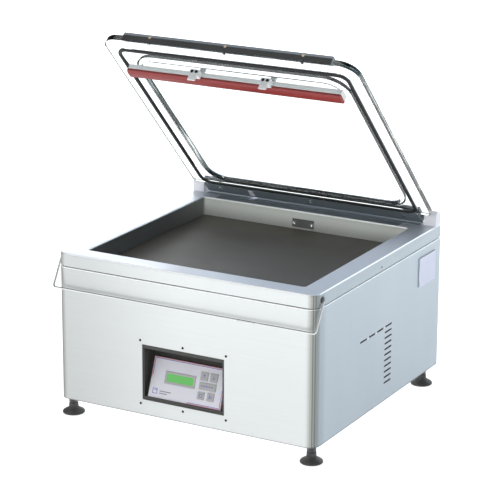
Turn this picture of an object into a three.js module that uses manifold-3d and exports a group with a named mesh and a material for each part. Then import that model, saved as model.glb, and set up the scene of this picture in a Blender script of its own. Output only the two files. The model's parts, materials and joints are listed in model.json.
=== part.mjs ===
// Tabletop chamber vacuum sealer, shown with its clear lid held open.
// Millimetres. +X is right, -Y is the front, +Z is up; the origin is on the floor under the middle.
import * as THREE from "three";
import { mergeVertices } from "three/addons/utils/BufferGeometryUtils.js";
import Module from "manifold-3d";

// ---------------------------------------------------------------- driving dimensions
const GAP = 0.3; // clearance between pieces that touch
const SHEET = 2; // sheet steel of the cabinet

const HALF_WIDTH = 300;
const HALF_DEPTH = 290;
const CABINET_BOTTOM = 38;
const CABINET_TOP = 325.6;
const CORNER_RADIUS = 23; // the two upright front corners
const FLANGE_WIDTH = 16; // inward folds at the cabinet's and the tub's edges

const RIM_TOP = 355;
const RIM_BOTTOM = 327.4; // the shadow line under the rim band is RIM_BOTTOM - CABINET_TOP
const TUB_SHEET = 2.5;
const WELL = { halfX: 252, front: -245, rear: 229, floor: 250, corner: 6 };

const PORT_Z = 328; // the suction port in the well's rear wall

const LID_OPEN = THREE.MathUtils.degToRad(45.7);
const HINGE_AXIS = { y: 282.2, z: 374.8 };
const LID = { halfX: 293, front: -290, rear: 257.7, under: 359, flangeTop: 373, top: 383 };
const LID_FRONT_RADIUS = 40;
const RECESS = { half: 237, front: -218, ceiling: 369, radius: 40, wall: 10 };
const GASKET = { halfX: 264, front: -256, rear: 252, radius: 22, width: 8, bottom: 355.3 };
const GASKET_GROOVE = 4;

const BAR = { halfX: 246, front: -218, rear: -192, bottom: 340, top: 352 };
const BAR_MIDDLE = (BAR.front + BAR.rear) / 2;
const STRIP_BOTTOM = 332;
const CLIP_X = 82;
const POST = { x: CLIP_X, radius: 6 };

const SEAL_TOP = 323; // sealing element at rest; it rises 8.5 to meet the strip

const OPENING = { halfX: 95.5, bottom: 71, top: 190 };
const PANEL_TILT = THREE.MathUtils.degToRad(21);
const PANEL_FOOT = { y: -287, z: 79 };
const PANEL = { halfX: 85, height: 84, thickness: 4 };
const KEY_THICKNESS = 2.4;
const KEY_PROUD = 1;
const KEY_TRAVEL = 0.8;
const KEYS = {
  up: { x: [28, 45], v: [53, 70] },
  down: { x: [50, 67], v: [53, 70] },
  program: { x: [28, 67], v: [34.5, 49] },
  stop: { x: [28, 43.5], v: [14, 29] },
  start: { x: [50, 66], v: [14, 30] },
};
const DISPLAY = { x: [-53, 18], v: [32.5, 58] };

const BAIL = { wire: 2, armX: 303.6, pivotY: -264, pivotZ: 341, runY: -298.6, runZ: 282, bend: 9 };
const BUSH_RADIUS = 5; // the bail's pivot bushes in the rim band
const FOOT = { x: 281, frontY: -265, rearY: 254, radius: 23.5, stud: 5 };
// The rear buffers reach as far back as the bail reaches forward.
const BUFFER = { x: 262, z: 262, radius: 12, end: BAIL.wire - BAIL.runY };
const SIDES = [
  ["left", -1],
  ["right", 1],
];

const MOTOR_AXIS = { y: 90, z: 118 };
const VALVE = { y: [228, 284], z: [165, 212] };

// ---------------------------------------------------------------- materials
function material(color, roughness, metalness) {
  return new THREE.MeshStandardMaterial({ color, roughness, metalness });
}

const STAINLESS = material(0xc9cfd2, 0.32, 0.9);
const FRONT_STEEL = material(0xe4e9e8, 0.22, 0.6);
const GALVANISED = material(0xa9adad, 0.5, 0.8);
const DARK_PLASTIC = material(0x464642, 0.5, 0);
const LIGHT_PLASTIC = material(0xd8d8e2, 0.4, 0);
const KEY_PLASTIC = material(0xbcbcc4, 0.45, 0);
const DISPLAY_GREEN = material(0x78d773, 0.2, 0);
const BOARD_GREEN = material(0x2f6b45, 0.55, 0);
const FILLER = material(0x4c4b47, 0.5, 0);
const RUBBER = material(0x1c1c1e, 0.8, 0);
const ACRYLIC = material(0xe9eff2, 0.05, 0);
const SLATE = material(0x454d52, 0.45, 0.5);
const ALUMINIUM = material(0xc8d0d0, 0.35, 0.9);
const SILICONE = material(0xb04c4c, 0.6, 0);
const POLISHED = material(0xdde0e3, 0.12, 1);
const FOOT_BLACK = material(0x3c3c3c, 0.55, 0);
const CAST = material(0x8b9297, 0.55, 0.6);
const COPPER = material(0xa8683a, 0.4, 0.8);

// ---------------------------------------------------------------- solids
const wasm = await Module();
wasm.setup();

function toSolid(geometry) {
  const flat = geometry.index ? geometry.toNonIndexed() : geometry;
  const bare = new THREE.BufferGeometry();
  bare.setAttribute("position", flat.getAttribute("position"));
  const merged = mergeVertices(bare, 1e-4);
  const vertProperties = merged.getAttribute("position").array;
  const triVerts = new Uint32Array(merged.index.array);
  return new wasm.Manifold(new wasm.Mesh({ numProp: 3, vertProperties, triVerts }));
}

function toGeometry(solid) {
  const mesh = solid.getMesh();
  const geometry = new THREE.BufferGeometry();
  geometry.setAttribute("position", new THREE.BufferAttribute(mesh.vertProperties, 3));
  geometry.setIndex(new THREE.BufferAttribute(mesh.triVerts, 1));
  geometry.computeVertexNormals();
  return geometry;
}

function join(...geometries) {
  return toGeometry(geometries.map(toSolid).reduce((sum, next) => sum.add(next)));
}

function cut(base, ...tools) {
  return toGeometry(tools.map(toSolid).reduce((rest, tool) => rest.subtract(tool), toSolid(base)));
}

function box([x0, x1], [y0, y1], [z0, z1]) {
  const geometry = new THREE.BoxGeometry(x1 - x0, y1 - y0, z1 - z0);
  return geometry.translate((x0 + x1) / 2, (y0 + y1) / 2, (z0 + z1) / 2);
}

// A cylinder along "x", "y" or "z", from one value of that coordinate to another; at = the other two.
function cylinder(radius, along, [from, to], at, sides = 24) {
  const geometry = new THREE.CylinderGeometry(radius, radius, to - from, sides);
  const middle = (from + to) / 2;
  if (along === "x") return geometry.rotateZ(Math.PI / 2).translate(middle, at[0], at[1]);
  if (along === "y") return geometry.translate(at[0], middle, at[1]);
  return geometry.rotateX(Math.PI / 2).translate(at[0], at[1], middle);
}

// A stretch of x on the right, or its mirror image on the left.
function mirrored(side, from, to) {
  return side < 0 ? [-to, -from] : [from, to];
}

// Plan outline with its own radius on the two front corners and the two rear corners.
function outline(halfX, front, rear, frontRadius, rearRadius = 0) {
  const shape = new THREE.Shape();
  shape.moveTo(-halfX, rear - rearRadius);
  shape.lineTo(-halfX, front + frontRadius);
  if (frontRadius) {
    shape.absarc(-halfX + frontRadius, front + frontRadius, frontRadius, Math.PI, 1.5 * Math.PI);
  }
  shape.lineTo(halfX - frontRadius, front);
  if (frontRadius) {
    shape.absarc(halfX - frontRadius, front + frontRadius, frontRadius, 1.5 * Math.PI, 2 * Math.PI);
  }
  shape.lineTo(halfX, rear - rearRadius);
  if (rearRadius) {
    shape.absarc(halfX - rearRadius, rear - rearRadius, rearRadius, 0, Math.PI / 2);
    shape.lineTo(-halfX + rearRadius, rear);
    shape.absarc(-halfX + rearRadius, rear - rearRadius, rearRadius, Math.PI / 2, Math.PI);
  } else {
    shape.lineTo(-halfX, rear);
  }
  return shape;
}

function prismUp(shape, [z0, z1], curveSegments = 6) {
  const options = { depth: z1 - z0, bevelEnabled: false, curveSegments };
  return new THREE.ExtrudeGeometry(shape, options).translate(0, 0, z0);
}

// A side profile, given as [y, z] points, drawn along X.
function prismAcross(points, [x0, x1]) {
  const shape = new THREE.Shape(points.map(([y, z]) => new THREE.Vector2(y, z)));
  const options = { depth: x1 - x0, bevelEnabled: false };
  const toSide = new THREE.Matrix4().makeBasis(
    new THREE.Vector3(0, 1, 0),
    new THREE.Vector3(0, 0, 1),
    new THREE.Vector3(1, 0, 0),
  );
  return new THREE.ExtrudeGeometry(shape, options).applyMatrix4(toSide).translate(x0, 0, 0);
}

// A round profile, given as [radius, z] points from the lowest on the axis to the highest.
function turned(points, sides = 20) {
  const profile = points.map(([radius, z]) => new THREE.Vector2(radius, z));
  return new THREE.LatheGeometry(profile, sides).rotateX(Math.PI / 2);
}

// A straight round bar between two points, with a round end at each.
function wireRod(from, to, radius, sides = 10) {
  const along = new THREE.Vector3().subVectors(to, from);
  const turn = new THREE.Quaternion().setFromUnitVectors(
    new THREE.Vector3(0, 1, 0),
    along.clone().normalize(),
  );
  const middle = new THREE.Vector3().addVectors(from, to).multiplyScalar(0.5);
  const rod = new THREE.CylinderGeometry(radius, radius, along.length(), sides);
  return rod.applyQuaternion(turn).translate(middle.x, middle.y, middle.z);
}

function ball(at, radius) {
  return new THREE.IcosahedronGeometry(radius, 1).translate(at.x, at.y, at.z);
}

// A round hose or coil wire along a curve.
function tube(curve, radius, steps, sides = 10) {
  const shape = new THREE.Shape();
  for (let i = 0; i < sides; i += 1) {
    const angle = (2 * Math.PI * i) / sides;
    const point = [radius * Math.cos(angle), radius * Math.sin(angle)];
    if (i) shape.lineTo(...point);
    else shape.moveTo(...point);
  }
  return new THREE.ExtrudeGeometry(shape, { steps, bevelEnabled: false, extrudePath: curve });
}

function place(group, name, geometry, look) {
  const mesh = new THREE.Mesh(geometry, look);
  mesh.name = name;
  group.add(mesh);
  return mesh;
}

// ---------------------------------------------------------------- cabinet shell
function louvres() {
  const slot = { long: 31, high: 2.5, pitchY: 38.5, pitchZ: 12.3, topZ: 201, columnY: 38 };
  const centres = [];
  for (let i = 1; i < 4; i += 1) centres.push([slot.columnY - i * slot.pitchY, slot.topZ]);
  for (let i = 0; i < 11; i += 1) centres.push([slot.columnY, slot.topZ - i * slot.pitchZ]);
  return centres.map(([y, z]) =>
    box(
      [HALF_WIDTH - 4, HALF_WIDTH + 4],
      [y - slot.long / 2, y + slot.long / 2],
      [z - slot.high / 2, z + slot.high / 2],
    ),
  );
}

function housingShell() {
  const flange = [CABINET_TOP - SHEET, CABINET_TOP];
  const outer = outline(HALF_WIDTH, -HALF_DEPTH, HALF_DEPTH, CORNER_RADIUS);
  const inner = outline(
    HALF_WIDTH - SHEET,
    -HALF_DEPTH + SHEET,
    HALF_DEPTH + 10,
    CORNER_RADIUS - SHEET,
  );
  const wrap = cut(
    prismUp(outer, [CABINET_BOTTOM, CABINET_TOP]),
    prismUp(inner, [CABINET_BOTTOM - 1, CABINET_TOP + 1]),
  );
  const fold = cut(
    prismUp(
      outline(HALF_WIDTH - 1, -HALF_DEPTH + 1, HALF_DEPTH - SHEET - GAP, CORNER_RADIUS - 1),
      flange,
    ),
    box(
      [-HALF_WIDTH + FLANGE_WIDTH, HALF_WIDTH - FLANGE_WIDTH],
      [-HALF_DEPTH + FLANGE_WIDTH, HALF_DEPTH + 10],
      [CABINET_TOP - 10, CABINET_TOP + 1],
    ),
  );
  const window = box(
    [-OPENING.halfX, OPENING.halfX],
    [-HALF_DEPTH - 5, -HALF_DEPTH + 5],
    [OPENING.bottom, OPENING.top],
  );
  return cut(join(wrap, fold), window, ...louvres());
}

function footPlaces() {
  return {
    front_left: [-FOOT.x, FOOT.frontY],
    front_right: [FOOT.x, FOOT.frontY],
    rear_left: [-FOOT.x, FOOT.rearY],
    rear_right: [FOOT.x, FOOT.rearY],
  };
}

function basePan() {
  const inset = SHEET + GAP;
  const height = 15;
  const wall = (extra) =>
    outline(
      HALF_WIDTH - inset - extra,
      -HALF_DEPTH + inset + extra,
      HALF_DEPTH - inset - extra,
      CORNER_RADIUS - inset - extra,
    );
  const tray = cut(
    prismUp(wall(0), [CABINET_BOTTOM, CABINET_BOTTOM + height]),
    prismUp(wall(SHEET), [CABINET_BOTTOM + SHEET, CABINET_BOTTOM + height + 1]),
  );
  const nuts = Object.values(footPlaces()).map((at) =>
    cylinder(8.5, "z", [CABINET_BOTTOM + 1, CABINET_BOTTOM + 12], at, 6),
  );
  const holes = Object.values(footPlaces()).map((at) =>
    cylinder(FOOT.stud + GAP, "z", [CABINET_BOTTOM - 1, CABINET_BOTTOM + 13], at, 20),
  );
  return cut(join(tray, ...nuts), ...holes);
}

const INLET = { x: -225, z: 92, halfX: 14.5, halfZ: 12 };
const SWITCH = { x: -225, z: 150, halfX: 11, halfZ: 15 };
const REAR_INNER = HALF_DEPTH - SHEET;

function rearPanel() {
  const halfX = HALF_WIDTH - SHEET - GAP;
  const sheet = box([-halfX, halfX], [REAR_INNER, HALF_DEPTH], [CABINET_BOTTOM, CABINET_TOP - GAP]);
  const fold = box(
    [-halfX + FLANGE_WIDTH, halfX - FLANGE_WIDTH],
    [REAR_INNER - FLANGE_WIDTH + SHEET, REAR_INNER + 1],
    [CABINET_TOP - SHEET, CABINET_TOP - GAP],
  );
  const hole = ({ x, z, halfX: hx, halfZ: hz }) =>
    box([x - hx, x + hx], [REAR_INNER - 2, HALF_DEPTH + 2], [z - hz, z + hz]);
  const grille = [];
  for (let row = 0; row < 9; row += 1) {
    const z = 80 + row * 10;
    grille.push(box([95, 235], [REAR_INNER - 2, HALF_DEPTH + 2], [z, z + 3]));
  }
  return cut(join(sheet, fold), hole(INLET), hole(SWITCH), ...grille);
}

function seamSeal() {
  const z = [CABINET_TOP + GAP, RIM_BOTTOM - GAP];
  const inset = 3;
  const width = 9;
  return cut(
    prismUp(
      outline(HALF_WIDTH - inset, -HALF_DEPTH + inset, HALF_DEPTH - inset, CORNER_RADIUS - inset),
      z,
    ),
    box(
      [-HALF_WIDTH + inset + width, HALF_WIDTH - inset - width],
      [-HALF_DEPTH + inset + width, HALF_DEPTH - inset - width],
      [z[0] - 1, z[1] + 1],
    ),
  );
}

function sidePlate() {
  const outer = HALF_WIDTH + GAP;
  return box([outer, outer + 2.7], [182, 262], [242, 306]);
}

function rearBuffer(side) {
  const at = [side * BUFFER.x, BUFFER.z];
  return join(
    cylinder(BUFFER.radius, "y", [HALF_DEPTH + GAP, BUFFER.end - 2], at, 20),
    cylinder(BUFFER.radius - 2, "y", [BUFFER.end - 3, BUFFER.end], at, 20),
  );
}

function foot() {
  const neckTop = CABINET_BOTTOM - GAP;
  const bell = [
    [0, 0],
    [FOOT.radius, 0],
    [FOOT.radius, 4],
    [20, 9],
    [14, 14],
    [10, 19],
    [8.5, 24],
    [8.5, neckTop],
    [FOOT.stud, neckTop],
    [FOOT.stud, CABINET_BOTTOM + 18],
    [0, CABINET_BOTTOM + 18],
  ];
  return turned(bell);
}

// ---------------------------------------------------------------- chamber
function chamberTub() {
  const rimOutline = outline(HALF_WIDTH, -HALF_DEPTH, HALF_DEPTH, CORNER_RADIUS);
  const skirtInner = outline(
    HALF_WIDTH - TUB_SHEET,
    -HALF_DEPTH + TUB_SHEET,
    HALF_DEPTH - TUB_SHEET,
    CORNER_RADIUS - TUB_SHEET,
  );
  const hood = cut(
    prismUp(rimOutline, [RIM_BOTTOM, RIM_TOP]),
    prismUp(skirtInner, [RIM_BOTTOM + SHEET, RIM_TOP - TUB_SHEET]),
    box(
      [-HALF_WIDTH + FLANGE_WIDTH, HALF_WIDTH - FLANGE_WIDTH],
      [-HALF_DEPTH + FLANGE_WIDTH, HALF_DEPTH - FLANGE_WIDTH],
      [RIM_BOTTOM - 1, RIM_BOTTOM + SHEET + 1],
    ),
  );
  const wellOutline = (extra) =>
    outline(
      WELL.halfX + extra,
      WELL.front - extra,
      WELL.rear + extra,
      WELL.corner + extra,
      WELL.corner + extra,
    );
  const well = prismUp(wellOutline(TUB_SHEET), [WELL.floor, RIM_TOP - 1], 3);
  const hollow = prismUp(wellOutline(0), [WELL.floor + TUB_SHEET, RIM_TOP + 1], 3);
  const through = [-HALF_WIDTH - 5, HALF_WIDTH + 5];
  const bailHoles = cylinder(BUSH_RADIUS + GAP, "x", through, [BAIL.pivotY, BAIL.pivotZ], 16);
  const port = cylinder(8, "y", [WELL.rear - 2, WELL.rear + 5], [0, PORT_Z], 16);
  const keyhole = box([HALF_WIDTH - 5, HALF_WIDTH + 5], [-3, 3], [335.5, 338]);
  return cut(join(hood, well), hollow, bailHoles, port, keyhole);
}

const FILLER_SPLIT = 284;
const FILLER_TOP = 315;

function fillerPlate([z0, z1]) {
  const side = 2.5;
  return prismUp(outline(WELL.halfX - side, -180, WELL.rear - side, 6, 6), [z0, z1], 3);
}

function portPlate() {
  return box([-26, 26], [WELL.rear - GAP - 2.5, WELL.rear - GAP], [319, 338]);
}

// ---------------------------------------------------------------- lifting seal bar
const CYLINDER = { x: 150, radius: 18, bore: 14.7, bottom: 252.8, top: 293 };
const PISTON_TOP = 264;
const SEAL_BAR_BOTTOM = 305;

function liftCylinder(side) {
  const at = [side * CYLINDER.x, BAR_MIDDLE];
  return cut(
    cylinder(CYLINDER.radius, "z", [CYLINDER.bottom, CYLINDER.top], at),
    cylinder(CYLINDER.bore, "z", [CYLINDER.bottom + 4, CYLINDER.top - 3], at),
    cylinder(5 + GAP, "z", [CYLINDER.top - 5, CYLINDER.top + 1], at, 16),
  );
}

function liftPiston(side) {
  const at = [side * CYLINDER.x, BAR_MIDDLE];
  return join(
    cylinder(CYLINDER.bore - GAP, "z", [CYLINDER.bottom + 4 + GAP, PISTON_TOP], at),
    cylinder(5, "z", [PISTON_TOP - 1, SEAL_BAR_BOTTOM - GAP], at, 16),
  );
}

class Helix extends THREE.Curve {
  constructor(radius, turns, z0, z1, at) {
    super();
    Object.assign(this, { radius, turns, z0, z1, at });
  }

  getPoint(t, target = new THREE.Vector3()) {
    const angle = 2 * Math.PI * this.turns * t;
    return target.set(
      this.at[0] + this.radius * Math.cos(angle),
      this.at[1] + this.radius * Math.sin(angle),
      this.z0 + (this.z1 - this.z0) * t,
    );
  }
}

function liftSpring(side) {
  const wire = 0.9;
  const from = PISTON_TOP + GAP + wire + 0.2;
  const to = CYLINDER.top - 3 - GAP - wire - 0.2;
  const coil = new Helix(9.5, 4, from, to, [side * CYLINDER.x, BAR_MIDDLE]);
  return tube(coil, wire, 48, 6);
}

function sealBarBase() {
  return box([-BAR.halfX, BAR.halfX], [BAR.front, BAR.rear], [SEAL_BAR_BOTTOM, SEAL_TOP - 1.8]);
}

function sealElement() {
  const inset = 6;
  return box(
    [-BAR.halfX, BAR.halfX],
    [BAR.front + inset, BAR.rear - inset],
    [SEAL_TOP - 1.8 + GAP, SEAL_TOP],
  );
}

// ---------------------------------------------------------------- control panel
// Bezel pocket behind the front opening; its back is parallel to the keypad panel.
function controlBezel() {
  const wall = 2;
  const slope = Math.tan(PANEL_TILT);
  const sink = PANEL.thickness + GAP;
  const seat = (depth) => ({
    y: PANEL_FOOT.y + depth * Math.cos(PANEL_TILT),
    z: PANEL_FOOT.z - depth * Math.sin(PANEL_TILT),
  });
  const sideProfile = (depth, bottom, top, front) => {
    const { y, z } = seat(depth);
    return [
      [front, bottom],
      [y + (bottom - z) * slope, bottom],
      [y + (top - z) * slope, top],
      [front, top],
    ];
  };
  const low = OPENING.bottom + GAP;
  const high = OPENING.top - GAP;
  const halfX = OPENING.halfX - GAP;
  const pocket = prismAcross(sideProfile(sink + wall, low, high, -HALF_DEPTH), [-halfX, halfX]);
  const hollow = prismAcross(
    sideProfile(sink, low + wall, high - wall, -HALF_DEPTH - 3),
    [-halfX + wall, halfX - wall],
  );
  const behind = -HALF_DEPTH + SHEET + GAP;
  const flange = box(
    [-OPENING.halfX - 12, OPENING.halfX + 12],
    [behind, behind + 1.5],
    [OPENING.bottom - 16, OPENING.top + 16],
  );
  return cut(join(pocket, flange), hollow);
}

function keypadPlate() {
  const pocketFloor = KEY_PROUD - KEY_THICKNESS - KEY_TRAVEL - GAP;
  const pocket = ({ x, v }, floor) =>
    box([x[0] - GAP, x[1] + GAP], [v[0] - GAP, v[1] + GAP], [floor, 1]);
  return cut(
    box([-PANEL.halfX, PANEL.halfX], [0, PANEL.height], [-PANEL.thickness, 0]),
    ...Object.values(KEYS).map((key) => pocket(key, pocketFloor)),
    pocket(DISPLAY, -1.5),
  );
}

function displayWindow() {
  return box(DISPLAY.x, DISPLAY.v, [-1.5 + GAP, 0.4]);
}

function controlBoard() {
  const back = -PANEL.thickness - 2 * GAP - 2;
  const board = box([-70, 70], [8, 76], [back - 9, back - 7.4]);
  const relay = box([20, 48], [20, 50], [back - 22, back - 8.5]);
  const capacitor = cylinder(9, "z", [back - 30, back - 8.5], [-35, 45], 16);
  const standoffs = [-64, 64].flatMap((x) =>
    [14, 70].map((v) => cylinder(3, "z", [back - 8, back], [x, v], 10)),
  );
  return join(board, relay, capacitor, ...standoffs);
}

function controlPanel() {
  const panel = new THREE.Group();
  panel.position.set(0, PANEL_FOOT.y, PANEL_FOOT.z);
  panel.rotation.x = Math.PI / 2 - PANEL_TILT;
  place(panel, "keypad_plate", keypadPlate(), LIGHT_PLASTIC);
  place(panel, "display_window", displayWindow(), DISPLAY_GREEN);
  place(panel, "control_board", controlBoard(), BOARD_GREEN);
  for (const [name, { x, v }] of Object.entries(KEYS)) {
    const cap = box(x, v, [KEY_PROUD - KEY_THICKNESS, KEY_PROUD]);
    place(panel, "key_" + name, cap, KEY_PLASTIC);
  }
  return panel;
}

// ---------------------------------------------------------------- lid, drawn closed
function lidCover() {
  const flange = prismUp(
    outline(LID.halfX, LID.front, LID.rear, LID_FRONT_RADIUS, 8),
    [LID.under, LID.flangeTop],
    8,
  );
  const raised = (extra, z) => {
    const { half, front, radius } = RECESS;
    const corner = radius + extra;
    return prismUp(outline(half + extra, front - extra, half + extra, corner, corner), z, 8);
  };
  const crown = raised(RECESS.wall, [LID.flangeTop - 1, LID.top]);
  const recess = raised(0, [LID.under - 1, RECESS.ceiling]);
  const groove = gasketRing(GASKET.width / 2 + GAP, [LID.under - 1, LID.under + GASKET_GROOVE]);
  return cut(join(flange, crown), recess, groove);
}

function gasketRing(half, z) {
  const loop = (extra) =>
    outline(
      GASKET.halfX + extra,
      GASKET.front - extra,
      GASKET.rear + extra,
      GASKET.radius + extra,
      GASKET.radius + extra,
    );
  return cut(prismUp(loop(half), z, 5), prismUp(loop(-half), [z[0] - 1, z[1] + 1], 5));
}

const RAIL = { halfX: 265, front: 258, rear: 290, bottom: 357, top: 381, lip: 249 };
const PIN = { radius: 4, inner: 240, outer: 290, collar: 9 };
const BLOCK = { inner: 272, y: 277, radius: 13, shoulder: 373 };
const FRONT_RAIL = { halfX: 240, wide: 13, high: 7, bevel: 1 };

function hingeRail() {
  const profile = [
    [RAIL.front, RAIL.bottom],
    [RAIL.rear, RAIL.bottom],
    [RAIL.rear, RAIL.top - 4],
    [RAIL.rear - 4, RAIL.top],
    [RAIL.lip, RAIL.top],
    [RAIL.lip, LID.flangeTop + GAP],
    [RAIL.front, LID.flangeTop + GAP],
  ];
  const at = [HINGE_AXIS.y, HINGE_AXIS.z];
  const bores = [-1, 1].map((side) =>
    cylinder(PIN.radius + GAP, "x", mirrored(side, PIN.inner - 1, RAIL.halfX + 1), at, 16),
  );
  return cut(prismAcross(profile, [-RAIL.halfX, RAIL.halfX]), ...bores);
}

function hingePin(side) {
  const at = [HINGE_AXIS.y, HINGE_AXIS.z];
  return join(
    cylinder(PIN.radius, "x", mirrored(side, PIN.inner, PIN.outer), at, 16),
    cylinder(PIN.collar, "x", mirrored(side, RAIL.halfX + GAP, BLOCK.inner - GAP), at, 20),
  );
}

function hingeBlock(side) {
  const { y, radius, shoulder, inner } = BLOCK;
  const profile = [
    [y - radius, RIM_TOP + GAP],
    [y + radius, RIM_TOP + GAP],
  ];
  for (let i = 0; i <= 8; i += 1) {
    const angle = (Math.PI * i) / 8;
    profile.push([y + radius * Math.cos(angle), shoulder + radius * Math.sin(angle)]);
  }
  const bore = mirrored(side, inner - 2, PIN.outer + GAP);
  return cut(
    prismAcross(profile, mirrored(side, inner, HALF_WIDTH)),
    cylinder(PIN.radius + GAP, "x", bore, [HINGE_AXIS.y, HINGE_AXIS.z], 16),
  );
}

function frontRail() {
  const base = LID.flangeTop + GAP;
  const { wide, high, bevel, halfX } = FRONT_RAIL;
  const profile = [
    [LID.front, base],
    [LID.front + wide, base],
    [LID.front + wide, base + high - bevel],
    [LID.front + wide - bevel, base + high],
    [LID.front + bevel, base + high],
    [LID.front, base + high - bevel],
  ];
  return prismAcross(profile, [-halfX, halfX]);
}

function counterBar() {
  const bevel = 3;
  const profile = [
    [BAR.front, BAR.bottom],
    [BAR.rear, BAR.bottom],
    [BAR.rear, BAR.top - bevel],
    [BAR.rear - bevel, BAR.top],
    [BAR.front + bevel, BAR.top],
    [BAR.front, BAR.top - bevel],
  ];
  return prismAcross(profile, [-BAR.halfX, BAR.halfX]);
}

function siliconeStrip() {
  const top = BAR.bottom - GAP;
  const profile = [
    [BAR.front + 5, STRIP_BOTTOM],
    [BAR.rear - 5, STRIP_BOTTOM],
    [BAR.rear, STRIP_BOTTOM + 3],
    [BAR.rear, top],
    [BAR.front, top],
    [BAR.front, STRIP_BOTTOM + 3],
  ];
  return prismAcross(profile, [-BAR.halfX - 1, BAR.halfX + 1]);
}

function barPost(side) {
  const at = [side * POST.x, BAR_MIDDLE];
  return cylinder(POST.radius, "z", [BAR.top + GAP, RECESS.ceiling - GAP], at, 20);
}

function barClip(side) {
  const x = side * CLIP_X;
  const back = BAR.front - GAP;
  const block = box([x - 11, x + 11], [back - 15, back], [334, 347]);
  const tongue = prismAcross(
    [
      [back - 15, 335],
      [back - 15, 321],
      [back - 12, 321],
      [back - 8, 335],
    ],
    [x - 8, x + 8],
  );
  return join(block, tongue);
}

function lidSensorTab() {
  return box([-154, -142], [262, 282], [355.5, RAIL.bottom - GAP]);
}

function lid() {
  const pivot = new THREE.Group();
  pivot.position.set(0, HINGE_AXIS.y, HINGE_AXIS.z);
  pivot.rotation.x = -LID_OPEN;
  const closed = new THREE.Group();
  closed.position.set(0, -HINGE_AXIS.y, -HINGE_AXIS.z);
  pivot.add(closed);
  const half = GASKET.width / 2;
  place(closed, "lid_cover", lidCover(), ACRYLIC);
  const gasketZ = [GASKET.bottom, LID.under + GASKET_GROOVE - GAP];
  place(closed, "lid_gasket", gasketRing(half, gasketZ), RUBBER);
  place(closed, "hinge_rail", hingeRail(), SLATE);
  place(closed, "front_rail", frontRail(), SLATE);
  place(closed, "counter_bar", counterBar(), ALUMINIUM);
  place(closed, "silicone_strip", siliconeStrip(), SILICONE);
  place(closed, "lid_sensor_tab", lidSensorTab(), LIGHT_PLASTIC);
  for (const [name, side] of SIDES) {
    place(closed, "bar_post_" + name, barPost(side), ALUMINIUM);
    place(closed, "bar_clip_" + name, barClip(side), ALUMINIUM);
  }
  return pivot;
}

// ---------------------------------------------------------------- wire bail
function bailWire() {
  const corner = (side, y, z) => new THREE.Vector3(side * BAIL.armX, y, z);
  const inward = (side) => new THREE.Vector3(side * (HALF_WIDTH - 9), BAIL.pivotY, BAIL.pivotZ);
  const pieces = [];
  const bends = [-1, 1].map((side) => {
    const top = corner(side, BAIL.pivotY, BAIL.pivotZ);
    const low = corner(side, BAIL.runY, BAIL.runZ);
    const stop = low.clone().lerp(top, BAIL.bend / low.distanceTo(top));
    const turn = new THREE.Vector3(side * (BAIL.armX - BAIL.bend), BAIL.runY, BAIL.runZ);
    pieces.push(wireRod(inward(side), top, BAIL.wire), ball(top, BAIL.wire));
    pieces.push(wireRod(top, stop, BAIL.wire), ball(stop, BAIL.wire));
    pieces.push(wireRod(stop, turn, BAIL.wire), ball(turn, BAIL.wire));
    return turn;
  });
  pieces.push(wireRod(bends[0], bends[1], BAIL.wire));
  return join(...pieces);
}

function bailBush(side) {
  const reach = (from, to) => mirrored(side, from, to);
  const at = [BAIL.pivotY, BAIL.pivotZ];
  return cut(
    join(
      cylinder(BUSH_RADIUS, "x", reach(HALF_WIDTH - TUB_SHEET - 2, HALF_WIDTH + 0.5), at, 16),
      cylinder(7, "x", reach(HALF_WIDTH + GAP, HALF_WIDTH + 1.2), at, 16),
    ),
    cylinder(BAIL.wire + GAP, "x", reach(HALF_WIDTH - 12, HALF_WIDTH + 5), at, 12),
  );
}

// ---------------------------------------------------------------- machinery inside
const PUMP = { x: [-150, -10], y: [20, 160], z: [CABINET_BOTTOM + SHEET + GAP, 178] };

function vacuumPump() {
  const body = box(PUMP.x, PUMP.y, [PUMP.z[0] + 12, PUMP.z[1]]);
  const sole = box(
    [PUMP.x[0] - 10, PUMP.x[1]],
    [PUMP.y[0] - 12, PUMP.y[1] + 12],
    [PUMP.z[0], PUMP.z[0] + 14],
  );
  const ribs = [];
  for (let i = 0; i < 5; i += 1) {
    const y = PUMP.y[0] + 16 + i * 26;
    ribs.push(box([PUMP.x[0] - 10, PUMP.x[0] + 1], [y, y + 6], [PUMP.z[0] + 13, PUMP.z[1] - 8]));
  }
  const inlet = cylinder(14, "z", [PUMP.z[1] - 1, PUMP.z[1] + 14], [-60, MOTOR_AXIS.y], 20);
  return join(body, sole, inlet, ...ribs);
}

function pumpMotor() {
  const at = [MOTOR_AXIS.y, MOTOR_AXIS.z];
  const start = PUMP.x[1] + GAP;
  const barrel = cylinder(58, "x", [start, 140], at, 28);
  const shaft = cylinder(6, "x", [139, 172], at, 12);
  const astride = (half) => [MOTOR_AXIS.y - half, MOTOR_AXIS.y + half];
  const sole = box([20, 110], astride(45), [PUMP.z[0], PUMP.z[0] + 40]);
  const terminalBox = box([30, 95], astride(30), [MOTOR_AXIS.z + 50, MOTOR_AXIS.z + 82]);
  return join(barrel, shaft, sole, terminalBox);
}

function motorFan() {
  const at = [MOTOR_AXIS.y, MOTOR_AXIS.z];
  const blades = [];
  for (let i = 0; i < 7; i += 1) {
    const blade = box([145.5, 168], [-2, 2], [9, 50]);
    blades.push(blade.rotateX((2 * Math.PI * i) / 7).translate(0, at[0], at[1]));
  }
  const hub = cylinder(14, "x", [143.6, 170], at, 20);
  const disc = cylinder(52, "x", [144.2, 147], at, 28);
  return cut(join(hub, disc, ...blades), cylinder(6 + GAP, "x", [140, 175], at, 12));
}

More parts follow.
